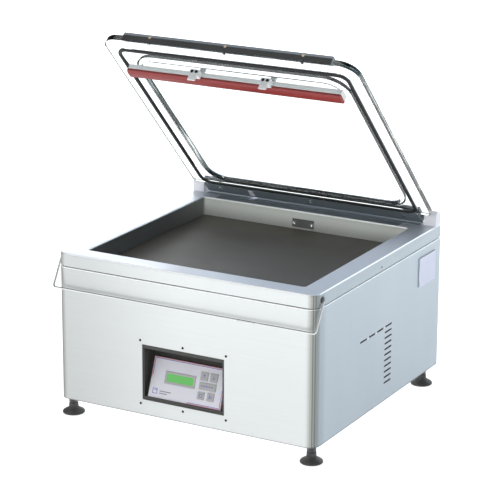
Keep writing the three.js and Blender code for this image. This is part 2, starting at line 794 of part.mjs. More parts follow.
function exhaustFilter() {
  const at = [-225, MOTOR_AXIS.y];
  return join(
    cylinder(40, "z", [PUMP.z[0] + 18, 205], at, 28),
    cylinder(46, "z", [PUMP.z[0] + 8, PUMP.z[0] + 20], at, 28),
    cylinder(20, "z", [PUMP.z[0], PUMP.z[0] + 10], at, 20),
    box([-190, PUMP.x[0] - 10 - GAP], [MOTOR_AXIS.y - 14, MOTOR_AXIS.y + 14], [110, 140]),
  );
}

function transformer() {
  const base = PUMP.z[0];
  return join(
    box([185, 265], [-150, -70], [base, base + 66]),
    box([195, 255], [-166, -54], [base + 12, base + 54]),
    box([175, 275], [-140, -80], [base, base + 3]),
  );
}

function valveBlock() {
  return join(
    box([-62, 62], VALVE.y, VALVE.z),
    cylinder(13, "z", [VALVE.z[1] - 1, VALVE.z[1] + 26], [-42, 256], 20),
    cylinder(13, "z", [VALVE.z[1] - 1, VALVE.z[1] + 26], [42, 256], 20),
    box([-62, 62], [VALVE.y[1] - 3, REAR_INNER - GAP], [VALVE.z[0] - 12, VALVE.z[1]]),
  );
}

function hoseAlong(points, radius, steps) {
  const route = points.map((point) => new THREE.Vector3(...point));
  return tube(new THREE.CatmullRomCurve3(route, false, "centripetal"), radius, steps);
}

function pumpHose() {
  const from = PUMP.z[1] + 14 + GAP;
  return hoseAlong(
    [
      [-60, MOTOR_AXIS.y, from],
      [-60, MOTOR_AXIS.y, from + 12],
      [-48, 112, 222],
      [-30, 160, 220],
      [-20, 192, 200],
      [-20, 212, 190],
      [-20, VALVE.y[0] - 1, 189],
    ],
    10,
    18,
  );
}

function chamberHose() {
  const from = WELL.rear + TUB_SHEET + GAP;
  return hoseAlong(
    [
      [0, from, PORT_Z],
      [0, from + 10, PORT_Z],
      [0, from + 22, PORT_Z - 8],
      [0, from + 26, PORT_Z - 25],
      [0, from + 26, VALVE.z[1] + GAP],
    ],
    9,
    16,
  );
}

function powerInlet() {
  const cavity = { halfX: 12, halfZ: 8.2, depth: 16 };
  const { x, z } = INLET;
  const face = HALF_DEPTH + GAP;
  const body = box(
    [x - INLET.halfX + GAP, x + INLET.halfX - GAP],
    [face - 22, face + 1],
    [z - INLET.halfZ + GAP, z + INLET.halfZ - GAP],
  );
  const rim = box([x - 22, x + 22], [face, face + 2.5], [z - 15, z + 15]);
  const hollow = box(
    [x - cavity.halfX, x + cavity.halfX],
    [face + 2.5 - cavity.depth, face + 5],
    [z - cavity.halfZ, z + cavity.halfZ],
  );
  const pins = [
    [0, 3.5],
    [-7, -1],
    [7, -1],
  ].map(([dx, dz]) =>
    box([x + dx - 1, x + dx + 1], [face + 1 - cavity.depth, face - 1], [z + dz - 2, z + dz + 2]),
  );
  return join(cut(join(body, rim), hollow), ...pins);
}

const ROCKER_TILT = THREE.MathUtils.degToRad(9);

function rockerSwitch() {
  const group = new THREE.Group();
  group.position.set(SWITCH.x, HALF_DEPTH - 3, SWITCH.z);
  group.rotation.x = ROCKER_TILT;
  const profile = [
    [-6, -9],
    [4, -12],
    [6, 0],
    [4, 12],
    [-6, 9],
  ];
  place(group, "power_switch", prismAcross(profile, [-9.5, 9.5]), DARK_PLASTIC);
  return group;
}

// ---------------------------------------------------------------- assembly
function cabinet() {
  const group = new THREE.Group();
  place(group, "housing_shell", housingShell(), FRONT_STEEL);
  place(group, "base_pan", basePan(), GALVANISED);
  place(group, "rear_panel", rearPanel(), STAINLESS);
  place(group, "seam_seal", seamSeal(), RUBBER);
  place(group, "side_plate", sidePlate(), LIGHT_PLASTIC);
  place(group, "chamber_tub", chamberTub(), STAINLESS);
  place(group, "filler_plate_lower", fillerPlate([WELL.floor + 2.8, FILLER_SPLIT - GAP]), FILLER);
  place(group, "filler_plate_upper", fillerPlate([FILLER_SPLIT, FILLER_TOP]), FILLER);
  place(group, "vacuum_port_plate", portPlate(), SLATE);
  place(group, "control_bezel", controlBezel(), DARK_PLASTIC);
  place(group, "power_inlet", powerInlet(), DARK_PLASTIC);
  for (const [name, at] of Object.entries(footPlaces())) {
    place(group, "foot_" + name, foot(), FOOT_BLACK).position.set(at[0], at[1], 0);
  }
  for (const [name, side] of SIDES) {
    place(group, "hinge_block_" + name, hingeBlock(side), LIGHT_PLASTIC);
    place(group, "hinge_pin_" + name, hingePin(side), POLISHED);
    place(group, "bail_bush_" + name, bailBush(side), DARK_PLASTIC);
    place(group, "rear_buffer_" + name, rearBuffer(side), RUBBER);
  }
  return group;
}

function sealBar() {
  const group = new THREE.Group();
  place(group, "seal_bar_base", sealBarBase(), ALUMINIUM);
  place(group, "seal_element", sealElement(), COPPER);
  for (const [name, side] of SIDES) {
    place(group, "lift_cylinder_" + name, liftCylinder(side), ALUMINIUM);
    place(group, "lift_piston_" + name, liftPiston(side), POLISHED);
    place(group, "lift_spring_" + name, liftSpring(side), POLISHED);
  }
  return group;
}

function machinery() {
  const group = new THREE.Group();
  place(group, "vacuum_pump", vacuumPump(), CAST);
  place(group, "pump_motor", pumpMotor(), CAST);
  place(group, "motor_fan", motorFan(), DARK_PLASTIC);
  place(group, "exhaust_filter", exhaustFilter(), CAST);
  place(group, "transformer", transformer(), COPPER);
  place(group, "valve_block", valveBlock(), ALUMINIUM);
  place(group, "pump_hose", pumpHose(), RUBBER);
  place(group, "chamber_hose", chamberHose(), RUBBER);
  return group;
}

const sealer = new THREE.Group();
sealer.add(cabinet(), sealBar(), controlPanel(), rockerSwitch(), machinery(), lid());
place(sealer, "bail_wire", bailWire(), POLISHED);

export default sealer;
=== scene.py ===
import json
import math

import bmesh
import bpy
from mathutils import Matrix, Vector


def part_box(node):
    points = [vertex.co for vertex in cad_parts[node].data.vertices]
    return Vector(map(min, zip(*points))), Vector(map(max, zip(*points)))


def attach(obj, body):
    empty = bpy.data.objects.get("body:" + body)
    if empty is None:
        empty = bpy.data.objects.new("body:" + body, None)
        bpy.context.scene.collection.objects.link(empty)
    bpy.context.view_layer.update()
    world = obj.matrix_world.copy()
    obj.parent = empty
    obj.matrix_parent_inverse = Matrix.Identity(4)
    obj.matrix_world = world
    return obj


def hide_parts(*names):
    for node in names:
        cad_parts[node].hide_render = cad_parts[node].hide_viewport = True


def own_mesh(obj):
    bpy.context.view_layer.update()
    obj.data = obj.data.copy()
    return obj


# Looks for a tabletop chamber vacuum sealer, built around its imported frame.
# Metres, +Z up, -Y is the front.

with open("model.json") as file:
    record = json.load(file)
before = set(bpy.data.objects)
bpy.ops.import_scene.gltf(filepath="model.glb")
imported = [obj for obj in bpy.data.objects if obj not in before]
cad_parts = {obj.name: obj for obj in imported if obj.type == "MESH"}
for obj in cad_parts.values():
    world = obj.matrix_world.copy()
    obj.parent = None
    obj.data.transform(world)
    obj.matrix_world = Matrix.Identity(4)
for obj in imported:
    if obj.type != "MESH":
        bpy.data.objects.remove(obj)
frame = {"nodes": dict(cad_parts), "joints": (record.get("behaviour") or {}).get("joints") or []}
bpy.context.view_layer.update()
NODES = frame["nodes"]
JOINTS = {joint["name"]: joint for joint in frame["joints"]}

MM = 0.001
GAP = 0.3 * MM  # left between neighbouring parts
SIDES = ("left", "right")


# ---------------- places taken from the frame
def local_box(node, place):
    """Lowest and highest corners of a CAD node, measured along the axes of a tilted place."""
    back = place.inverted()
    points = [back @ vertex.co for vertex in NODES[node].data.vertices]
    low = Vector([min(p[i] for p in points) for i in range(3)])
    high = Vector([max(p[i] for p in points) for i in range(3)])
    return low, high


# Lid pieces are drawn as if the lid were shut and then swung open about the hinge.
HINGE = Vector(JOINTS["lid_hinge"]["pos_m"])
LID_OPEN = math.radians(JOINTS["lid_hinge"]["range_deg"][1])
LID = (
    Matrix.Translation(HINGE)
    @ Matrix.Rotation(-LID_OPEN, 4, "X")
    @ Matrix.Translation(-HINGE)
)

# Keypad pieces are drawn with x across, y up the sloping plate and z out of it.
PLATE_THICKNESS = 4 * MM
PANEL_TILT = math.asin(-JOINTS["key_up_press"]["axis"][2])
PLATE_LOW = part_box("keypad_plate")[0]
PANEL = Matrix.Translation(
    (0, PLATE_LOW.y, PLATE_LOW.z + PLATE_THICKNESS * math.sin(PANEL_TILT))
) @ Matrix.Rotation(math.pi / 2 - PANEL_TILT, 4, "X")

UPRIGHT = Matrix.Identity(4)
UP, DOWN = Vector((0, 0, 1)), Vector((0, 0, -1))
FRONTWARD, REARWARD = Vector((0, -1, 0)), Vector((0, 1, 0))
SHELL_LOW, SHELL_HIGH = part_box("housing_shell")
TUB_LOW, TUB_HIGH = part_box("chamber_tub")


# ---------------- camera, floor, light
def bearing(azimuth, elevation):
    """Direction from the object, in degrees: azimuth 0 is the front and 90 the right."""
    around, up = math.radians(azimuth), math.radians(elevation)
    return Vector((math.sin(around) * math.cos(up), -math.cos(around) * math.cos(up), math.sin(up)))


CAMERA_TARGET = Vector((-0.0067, 0, 0.327))
CAMERA_AZIMUTH = 28.909
CAMERA_ELEVATION = 16.776
CAMERA_ROLL = 0.00475  # radians
CAMERA_DISTANCE = 4.6485
CAMERA_LENS = 159.26  # on the usual 36 mm sensor


def make_camera():
    around = math.radians(CAMERA_AZIMUTH)
    back = bearing(CAMERA_AZIMUTH, CAMERA_ELEVATION)
    right = Vector((math.cos(around), math.sin(around), 0))
    above = back.cross(right)
    rolled_right = math.cos(CAMERA_ROLL) * right + math.sin(CAMERA_ROLL) * above
    rolled_above = back.cross(rolled_right)
    axes = Matrix((rolled_right, rolled_above, back)).transposed().to_4x4()
    data = bpy.data.cameras.new("camera")
    data.lens = CAMERA_LENS
    camera = bpy.data.objects.new("camera", data)
    bpy.context.scene.collection.objects.link(camera)
    camera.matrix_world = Matrix.Translation(CAMERA_TARGET + CAMERA_DISTANCE * back) @ axes
    bpy.context.scene.camera = camera


# Soft boxes: name, place, aim, size, power, colour and spread in degrees.
SOFT_BOXES = (
    ("key", (0.3, -2.6, 1.7), (0, 0, 0.2), (2.0, 1.3), 6.5, (1.0, 1.0, 0.985), 180),
    ("top", (-0.2, 0.1, 3.2), (0, 0, 0.3), (3.0, 2.4), 13, (1.0, 1.0, 1.0), 180),
    ("rear_left", (-1.62, 1.70, 1.0), (-0.2, 0, 0.35), (1.0, 0.7), 4.6, (1.0, 0.975, 0.95), 180),
    ("cool_side", (2.6, 1.0, 1.3), (0, 0, 0.2), (1.8, 1.4), 3, (0.60, 0.78, 1.0), 180),
    ("chamber_fill", (0.1, -0.9, 0.80), (0, 0.25, 0.345), (0.9, 0.06), 0.35, (1.0, 1.0, 0.97), 30),
)


def area_light(name, at, aim, size, power, colour, spread):
    data = bpy.data.lights.new(name, "AREA")
    data.shape = "RECTANGLE"
    data.spread = math.radians(spread)
    data.size, data.size_y = size
    data.energy = power
    data.color = colour
    light = bpy.data.objects.new(name, data)
    bpy.context.scene.collection.objects.link(light)
    light.visible_camera = False
    facing = (Vector(aim) - Vector(at)).to_track_quat("-Z", "Y")
    light.matrix_world = Matrix.Translation(at) @ facing.to_matrix().to_4x4()


# Soft cards round the set: azimuth, elevation, inner and outer half angles in degrees, colour.
CARDS = (
    (-48, 22, 14, 38, (0.40, 0.40, 0.39)),
    (-60, 58, 10, 26, (1.60, 1.63, 1.63)),
    (161, 28, 8, 22, (2.30, 2.30, 2.25)),
    (205, 18, 14, 38, (0.62, 0.70, 0.82)),
    (115, 24, 16, 44, (0.16, 0.24, 0.34)),
)
SKY_COLOUR = (0.10, 0.108, 0.12)


def make_studio():
    for box in SOFT_BOXES:
        area_light(*box)
    world = bpy.data.worlds.new("studio")
    bpy.context.scene.world = world
    world.use_nodes = True
    tree = world.node_tree
    direction = wire(tree, "TexCoord").outputs["Generated"]
    total = SKY_COLOUR
    for azimuth, elevation, inner, outer, colour in CARDS:
        closeness = dot(tree, direction, bearing(azimuth, elevation))
        edge, core = math.cos(math.radians(outer)), math.cos(math.radians(inner))
        card = scaled(tree, colour, between(tree, closeness, edge, core, 0.0, 1.0))
        total = combine(tree, "ADD", total, card)
    tree.links.new(total, tree.nodes["Background"].inputs["Color"])


FLOOR_HALF = 30.0
FLOOR_GLOW = (0.72, 1.22)  # under the object, and from 2 m away
GLOW_REACH = (0.8, 2.0)


def make_floor():
    mesh = bpy.data.meshes.new("studio_floor")
    corners = [(FLOOR_HALF * x, FLOOR_HALF * y, 0) for x, y in ((-1, -1), (1, -1), (1, 1), (-1, 1))]
    mesh.from_pydata(corners, [], [(0, 1, 2, 3)])
    floor = bpy.data.objects.new("studio_floor", mesh)
    bpy.context.scene.collection.objects.link(floor)
    look = surface("pale_floor", (0.93, 0.93, 0.93), rough=0.9, grain=(8, 8, 8), tone=0.004)
    tree = look.node_tree
    shader = tree.nodes["Principled BSDF"]
    shader.inputs["Specular IOR Level"].default_value = 0.0
    shader.inputs["Emission Color"].default_value = (1, 1, 1, 1)
    where = wire(tree, "TexCoord").outputs["Object"]
    reach = wire(tree, "VectorMath", [(0, where)], operation="LENGTH").outputs["Value"]
    tree.links.new(between(tree, reach, *GLOW_REACH, *FLOOR_GLOW), shader.inputs["Emission Strength"])
    mesh.materials.append(look)


# ---------------- material nodes
def wire(tree, kind, inputs=(), **settings):
    """Adds a shader node; each input is a (socket, value or output to link) pair."""
    node = tree.nodes.new("ShaderNode" + kind)
    for key, value in settings.items():
        setattr(node, key, value)
    for socket, value in inputs:
        if isinstance(value, bpy.types.NodeSocket):
            tree.links.new(value, node.inputs[socket])
        else:
            node.inputs[socket].default_value = value
    return node


def calc(tree, operation, *values):
    """One step of arithmetic on numbers."""
    return wire(tree, "Math", enumerate(values), operation=operation).outputs[0]


def combine(tree, operation, *values):
    """One step of arithmetic on colours or directions."""
    return wire(tree, "VectorMath", enumerate(values), operation=operation).outputs[0]


def product(tree, first, second):
    return calc(tree, "MULTIPLY", first, second)


def dot(tree, first, second):
    pairs = [(0, first), (1, second)]
    return wire(tree, "VectorMath", pairs, operation="DOT_PRODUCT").outputs["Value"]


def scaled(tree, colour, amount):
    return wire(tree, "VectorMath", [(0, colour), ("Scale", amount)], operation="SCALE").outputs[0]


def tinted(tree, base, change):
    """A colour multiplied by one plus a change."""
    return combine(tree, "MULTIPLY", base, combine(tree, "ADD", change, (1, 1, 1)))


def between(tree, value, start, end, low, high, ease="SMOOTHSTEP"):
    """Goes from low to high while a value runs from start to end."""
    pairs = [("Value", value), ("From Min", start), ("From Max", end), ("To Min", low), ("To Max", high)]
    return wire(tree, "MapRange", pairs, interpolation_type=ease).outputs["Result"]


def spread_of(tree, source, low, high):
    """A noise output stretched from its usual middle range to low...high."""
    return between(tree, source, 0.3, 0.7, low, high, "LINEAR")


def noise(tree, where, scale, detail=4.0, roughness=0.6):
    stretched = wire(tree, "Mapping", [("Vector", where), ("Scale", scale)]).outputs[0]
    pairs = [("Vector", stretched), ("Scale", 1.0), ("Detail", detail), ("Roughness", roughness)]
    return wire(tree, "TexNoise", pairs).outputs["Fac"]


def surface(
    name,
    colour,
    rough,
    metal=0.0,
    grain=(900, 900, 900),
    tone=0.05,
    patch=6.0,
    patch_tone=0.035,
    spread=0.06,
    relief=0.03,
    coat=0.0,
    marks=None,
    paint=None,
):
    """A material with fine grain, slow patches of tone and gloss, and a shallow relief in millimetres.
    marks can change the shade, gloss and height; paint can change the colour."""
    material = bpy.data.materials.new(name)
    material.use_nodes = True
    tree = material.node_tree
    shader = tree.nodes["Principled BSDF"]
    shader.inputs["Metallic"].default_value = metal
    shader.inputs["Coat Weight"].default_value = coat
    shader.inputs["Coat Roughness"].default_value = 0.08
    where = wire(tree, "TexCoord").outputs["Object"]
    fine = noise(tree, where, grain)
    cloud = noise(tree, where, (patch, patch, patch), detail=3.0)
    shade = product(
        tree,
        spread_of(tree, fine, 1 - tone, 1 + tone),
        spread_of(tree, cloud, 1 - patch_tone, 1 + patch_tone),
    )
    gloss = spread_of(tree, cloud, rough - spread, rough + spread)
    height = fine
    if marks:
        shade, gloss, height = marks(tree, where, shade, gloss, height)
    base = scaled(tree, colour, shade)
    if paint:
        base = paint(tree, base)
    tree.links.new(base, shader.inputs["Base Color"])
    tree.links.new(gloss, shader.inputs["Roughness"])
    pairs = [("Strength", 0.5), ("Distance", relief * MM), ("Height", height)]
    bump = wire(tree, "Bump", pairs)
    tree.links.new(bump.outputs[0], shader.inputs["Normal"])
    return material


HAIRLINES = (5, 5, 700)  # noise frequencies of satin sheet metal
CORNER_REFLECTION_TINT = (0.10, 0.0, -0.36)  # painted reflection: change of each colour where a panel rolls round a corner
LEFT_SHADE_SPAN = (-0.31, 0.05)  # painted shade: the stretch of a front panel that is darkened toward the left end
CORNER_SHADE_STRIP = (-0.264, -0.242)  # the front edge of the side panels, darkened there as painted reflection
CORNER_SHADE_TONE = -0.17
WHITE = (1, 1, 1)


def brushed(
    name, colour, rough, metal, side=WHITE, up=WHITE, corner_reflection=0.0, edge_highlight=0.0, left_end_shade=1.0, edge_shade_and_highlight=()
):
    """Satin sheet metal: hairlines and wiping smears, with painted light: a painted tone for each way it
    faces, painted reflection that darkens and warms the rolled corners, painted highlights on edges that
    roll from the top to a side, lines at given heights (height, half width, tone) of painted shade or
    highlight, and painted shade toward the left end."""

    def wiped(tree, where, shade, gloss, height):
        smear = noise(tree, where, (3.0, 14.0, 3.0), detail=2.0)
        return shade, calc(tree, "ADD", gloss, spread_of(tree, smear, -0.03, 0.05)), height

    def painted_light_by_facing(tree, base):
        coordinates = wire(tree, "TexCoord").outputs
        normal = coordinates["Normal"]
        parts = wire(tree, "SeparateXYZ", [(0, normal)]).outputs
        across, along, upward = (product(tree, part, part) for part in parts)
        # Painted shade: each way a face points gets its own tone.
        for share, facing in ((across, side), (upward, up)):
            base = tinted(tree, base, scaled(tree, [tone - 1 for tone in facing], share))
        # Painted reflection: darker stripes and a warmer tint where a panel rolls round a corner.
        rolled = product(tree, across, along)
        stripe = noise(tree, normal, (9, 9, 0), detail=2.0)
        # A product of two squared shares is at most a quarter, so 4 makes it a full share.
        depth = spread_of(tree, stripe, -4 * corner_reflection * 1.45, -4 * corner_reflection * 0.55)
        base = scaled(tree, base, calc(tree, "MULTIPLY_ADD", rolled, depth, 1.0))
        base = tinted(tree, base, scaled(tree, CORNER_REFLECTION_TINT, rolled))
        # Painted highlight on edges that roll from the top to a side.
        tilted = product(tree, upward, calc(tree, "SUBTRACT", 1.0, upward))
        base = scaled(tree, base, calc(tree, "MULTIPLY_ADD", tilted, 4 * edge_highlight, 1.0))
        place = wire(tree, "SeparateXYZ", [(0, coordinates["Object"])]).outputs
        # Painted shade or painted highlight in lines at given heights.
        for height, half, tone in edge_shade_and_highlight:
            away = calc(tree, "ABSOLUTE", calc(tree, "SUBTRACT", place["Z"], height))
            base = scaled(tree, base, between(tree, away, 0.6 * half, half, tone, 1.0))
        # Painted shade toward the left end of front faces, and on side faces near their front edge.
        left_shade = product(tree, along, between(tree, place["X"], *LEFT_SHADE_SPAN, left_end_shade - 1, 0.0))
        strip = between(tree, place["Y"], *CORNER_SHADE_STRIP, CORNER_SHADE_TONE, 0.0)
        for change in (left_shade, product(tree, across, strip)):
            base = scaled(tree, base, calc(tree, "ADD", change, 1.0))
        return combine(tree, "MINIMUM", base, WHITE)

    return surface(
        name, colour, rough, metal, HAIRLINES, tone=0.02, patch=2.2, patch_tone=0.015,
        spread=0.03, relief=0.005, marks=wiped, paint=painted_light_by_facing,
    )


def scratched(name, colour, rough):
    """A plastic board with fine scratches running two ways."""

    def scratches(tree, where, shade, gloss, height):
        along = noise(tree, where, (9, 420, 9), detail=2.0)
        across = noise(tree, where, (380, 12, 9), detail=2.0)
        fleck = between(tree, product(tree, along, across), 0.36, 0.46, 1.0, 1.35, "LINEAR")
        return product(tree, shade, fleck), product(tree, gloss, fleck), height

    return surface(
        name, colour, rough, grain=(500, 500, 500), patch=4.0, patch_tone=0.06, spread=0.05,
        marks=scratches,
    )


def speckled(name, colour, rough, metal, size, depth):
    """Cast or moulded skin with a pebbled relief."""

    def pebbles(tree, where, shade, gloss, height):
        cells = wire(tree, "TexVoronoi", [("Vector", where), ("Scale", size)]).outputs["Distance"]
        return shade, gloss, calc(tree, "ADD", height, cells)

    return surface(name, colour, rough, metal, relief=depth, marks=pebbles)


EDGE_REFLECTION_TONE = (-0.97, -0.955, -0.955)  # painted reflection: change of each colour in the dark lengths of the lid's edges
EDGE_REFLECTION_PITCHES = (7, 7, 240)  # of the painted dark lengths, across, along and square to the lid


def clear_acrylic():
    """Thick cast acrylic: haze in patches, hair scratches and polished edges with painted reflection
    that darkens them in lengths.
    """
    lid_axes = LID.to_3x3().col

    def painted_edge_reflections(tree, base):
        coordinates = wire(tree, "TexCoord").outputs
        level = dot(tree, coordinates["Normal"], lid_axes[2])
        steep = between(tree, product(tree, level, level), 0.35, 0.75, 1.0, 0.0)
        axes = [
            dot(tree, coordinates["Object"], pitch * axis)
            for axis, pitch in zip(lid_axes, EDGE_REFLECTION_PITCHES)
        ]
        streak = noise(tree, wire(tree, "CombineXYZ", enumerate(axes)).outputs[0], (1, 1, 1))
        dark = product(tree, steep, between(tree, streak, 0.44, 0.49, 0.0, 1.0))
        return tinted(tree, base, scaled(tree, EDGE_REFLECTION_TONE, dark))

    material = surface(
        "clear_acrylic_sheet", (0.985, 0.995, 0.992), rough=0.012, grain=(60, 700, 60), tone=0.002,
        patch=5.0, patch_tone=0.003, spread=0.01, relief=0.002, paint=painted_edge_reflections,
    )
    tree = material.node_tree
    shader = tree.nodes["Principled BSDF"]
    shader.inputs["Transmission Weight"].default_value = 1.0
    shader.inputs["IOR"].default_value = 1.49
    pairs = [("Color", (0.80, 0.845, 0.83, 1)), ("Density", 15.0)]
    body = wire(tree, "VolumeAbsorption", pairs).outputs[0]
    tree.links.new(body, tree.nodes["Material Output"].inputs["Volume"])
    return material


def lcd_glass():
    """Green display with a faint dot matrix, lit softly from behind."""

    def dots(tree, where, shade, gloss, height):
        pairs = [("Vector", where), ("Scale", 900.0), ("Randomness", 0.0)]
        cells = wire(tree, "TexVoronoi", pairs).outputs["Distance"]
        return product(tree, shade, between(tree, cells, 0.0, 0.7, 1.04, 0.93, "LINEAR")), gloss, height

    material = surface(
        "display_green", (0.19, 0.68, 0.17), rough=0.22, grain=(40, 40, 40), tone=0.02, coat=0.6,
        marks=dots,
    )
    shader = material.node_tree.nodes["Principled BSDF"]
    shader.inputs["Emission Color"].default_value = (0.18, 0.7, 0.16, 1)
    shader.inputs["Emission Strength"].default_value = 0.1
    return material


# Painted light on the chamber's walls: (start, end, tone at the start, tone at the end), in metres.
WALL_TOP_LIGHT = (0.312, 0.346, 0.7, 3.3)
WALL_REAR_LIGHT = (0.02, 0.26, 1.0, 2.0)


def chamber_steel():
    """Chamber walls in a dark grey with painted light: the front and rear walls are painted lighter
    toward the top, and every wall is painted lighter toward the rear."""

    def painted_wall_light(tree, base):
        coordinates = wire(tree, "TexCoord").outputs
        place = wire(tree, "SeparateXYZ", [(0, coordinates["Object"])]).outputs
        facing = wire(tree, "SeparateXYZ", [(0, coordinates["Normal"])]).outputs["Y"]
        rise = between(tree, place["Z"], *WALL_TOP_LIGHT)
        depth = between(tree, place["Y"], *WALL_REAR_LIGHT)
        cross = product(tree, facing, facing)
        return scaled(tree, base, calc(tree, "MULTIPLY_ADD", cross, rise, depth))

    return surface(
        "chamber_steel", (0.125, 0.130, 0.125), 0.42, 0.1, HAIRLINES, 0.03, 3.0, 0.03, paint=painted_wall_light
    )


def wire_steel():
    """Bright wire with painted shade on its upper side."""

    def shaded(tree, base):
        normal = wire(tree, "TexCoord").outputs["Normal"]
        upward = wire(tree, "SeparateXYZ", [(0, normal)]).outputs["Z"]
        return scaled(tree, base, between(tree, upward, 0.25, 0.75, 1.0, 0.16))

    return surface("bail_steel", (0.88, 0.88, 0.87), 0.3, 0.35, (200, 200, 200), 0.03, paint=shaded)


# The numbers after a colour: roughness, metal, grain, tone, patch and patch tone, as in surface, or
# roughness, metal, pebble frequency and relief, as in speckled.
LOOKS = {
    # The steel looks carry painted light: a darker, bluer tone for side faces and a bluish tone for
    # tops, painted reflection in rolled corners, painted highlights on top edges and painted shade
    # toward the left end; the housing also has a painted dark line along its bottom edge and a painted
    # highlight along its top edge.
    "front_steel": brushed(
        "satin_housing", (0.80, 0.825, 0.815), 0.38, 0.45,
        side=(0.57, 0.63, 0.69), corner_reflection=0.64, edge_highlight=0.6, left_end_shade=0.76,
        edge_shade_and_highlight=((SHELL_LOW.z, 2.6 * MM, 0.55), (SHELL_HIGH.z, 1.9 * MM, 2.0)),
    ),
    "stainless": brushed(
        "satin_stainless", (0.74, 0.765, 0.76), 0.33, 0.6,
        side=(0.50, 0.56, 0.61), up=(0.86, 0.88, 0.97), corner_reflection=0.64, edge_highlight=0.9, left_end_shade=0.74,
    ),
    "chamber_steel": chamber_steel(),
    "galvanised": surface("zinc_sheet", (0.60, 0.62, 0.63), 0.45, 0.7, (60, 60, 60), 0.12, 30, 0.08),
    "slate_metal": surface("slate_anodised", (0.185, 0.218, 0.245), 0.42, 0.1, (6, 500, 500), 0.10),
    "dark_chrome": surface("dark_chrome", (0.010, 0.010, 0.011), 0.5, 0.0, (30, 200, 200), 0.3, 14, 0.4),
    "aluminium": surface("drawn_aluminium", (0.95, 0.99, 0.985), 0.42, 0.1, (4, 900, 900), 0.04),
    "polished_wire": surface("polished_steel", (0.60, 0.605, 0.60), 0.26, 1.0, (200, 200, 200), 0.03),
    "clear_acrylic": clear_acrylic(),
    "rubber": surface("black_rubber", (0.016, 0.016, 0.017), 0.55, 0.0, (700, 700, 700), 0.15),
    "red_silicone": surface(
        "brick_silicone", (0.30, 0.040, 0.037), 0.46, 0.0, (12, 600, 600), 0.06, 9, 0.05
    ),
    "filler": scratched("chamber_board", (0.063, 0.057, 0.046), 0.48),
    "dark_plastic": speckled("dark_moulding", (0.055, 0.055, 0.050), 0.48, 0.0, 1400, 0.05),
    "pale_plastic": speckled("pale_moulding", (0.80, 0.80, 0.86), 0.4, 0.0, 1200, 0.04),
    "keypad": surface(
        "keypad_film", (0.91, 0.90, 0.97), 0.34, 0.0, (900, 900, 900), 0.02, 12, 0.02, coat=0.25
    ),
    "key_grey": surface("key_film", (0.56, 0.55, 0.55), 0.4, 0.0, (800, 800, 800), 0.04, 30, 0.02),
    "display": lcd_glass(),
    "circuit_board": surface("board_green", (0.02, 0.14, 0.06), 0.4, 0.0, (300, 300, 300), 0.2, 80, 0.3),
    "blank_plate": surface("plate_lilac", (0.66, 0.68, 0.81), 0.4, 0.0, (600, 600, 600), 0.02, 20, 0.02),
    "seal_tape": surface("seal_tape", (0.33, 0.19, 0.09), 0.55, 0.0, (700, 90, 90), 0.15, 30, 0.1),
    "pump_casting": speckled("pump_casting", (0.28, 0.31, 0.33), 0.55, 0.5, 500, 0.3),
    "motor_paint": speckled("motor_paint", (0.16, 0.20, 0.24), 0.45, 0.0, 900, 0.1),
    "foot_black": speckled("foot_moulding", (0.062, 0.061, 0.056), 0.42, 0.0, 900, 0.05),
}
BAIL_STEEL = wire_steel()
PORT_GREY = surface("port_anodised", (0.115, 0.12, 0.12), 0.4, 0.1, (6, 500, 500), 0.08)
BRIGHT = surface("bright_screw", (0.80, 0.81, 0.83), 0.2, 1.0, (120, 120, 120), 0.06, 60, 0.05)
BRASS = surface("brass_pin", (0.42, 0.33, 0.24), 0.3, 0.9, (200, 200, 200), 0.08)
DARK_SCREW = surface("black_screw", (0.008, 0.008, 0.009), 0.6, 0.0, (500, 500, 500), 0.1)
PRINT_BLUE = surface("print_blue", (0.19, 0.19, 0.60), 0.4, relief=0.005)
PRINT_PINK = surface("print_pink", (0.84, 0.38, 0.42), 0.4, relief=0.005)
PRINT_GREY = surface("print_grey", (0.30, 0.30, 0.34), 0.4, relief=0.005)
LAMP_GREEN = surface("lamp_green", (0.20, 0.75, 0.08), 0.2, relief=0.005, coat=0.5)
WHITE_PLASTIC = speckled("white_moulding", (0.86, 0.86, 0.87), 0.35, 0.0, 1300, 0.03)


# ---------------- mesh helpers
def soften(obj, width, segments=2):
    """Rounds every sharp edge a little, with flat faces kept flat."""
    bevel = obj.modifiers.new("edge_radius", "BEVEL")
    bevel.limit_method = "ANGLE"
    bevel.angle_limit = math.radians(32)
    bevel.width = width
    bevel.segments = segments
    bevel.harden_normals = True
    bevel.miter_outer = "MITER_ARC"


def piece(name, bm, look, body, place=UPRIGHT, replaces=(), edge=0.0):
    """Turns a bmesh into a piece that rides on a body."""
    bmesh.ops.recalc_face_normals(bm, faces=bm.faces)
    mesh = bpy.data.meshes.new(name)
    bm.to_mesh(mesh)
    bm.free()
    mesh.transform(place)
    mesh.materials.append(look)
    mesh.shade_smooth()
    obj = bpy.data.objects.new(name, mesh)
    bpy.context.scene.collection.objects.link(obj)
    if edge:
        soften(obj, edge)
    else:
        mesh.set_sharp_from_angle(angle=math.radians(34))
    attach(obj, body)
    if replaces:
        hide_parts(*replaces)
    return obj


def plan_points(shape, inset, steps=10):
    """Points round a rectangle with rounded corners, drawn smaller by inset."""
    half_x, front, rear, front_radius, rear_radius = shape
    spans = (
        (-1, rear, -1, rear_radius, 90),
        (-1, front, 1, front_radius, 180),
        (1, front, 1, front_radius, 270),
        (1, rear, -1, rear_radius, 0),
    )
    points = []
    for side, edge, inward, corner, start in spans:
        radius = max(corner - inset, 0.4)
        centre_x = side * (half_x - inset - radius)
        centre_y = edge + inward * (inset + radius)
        for i in range(steps + 1):
            angle = math.radians(start + 90 * i / steps)
            points.append((centre_x + radius * math.cos(angle), centre_y + radius * math.sin(angle)))
    return points


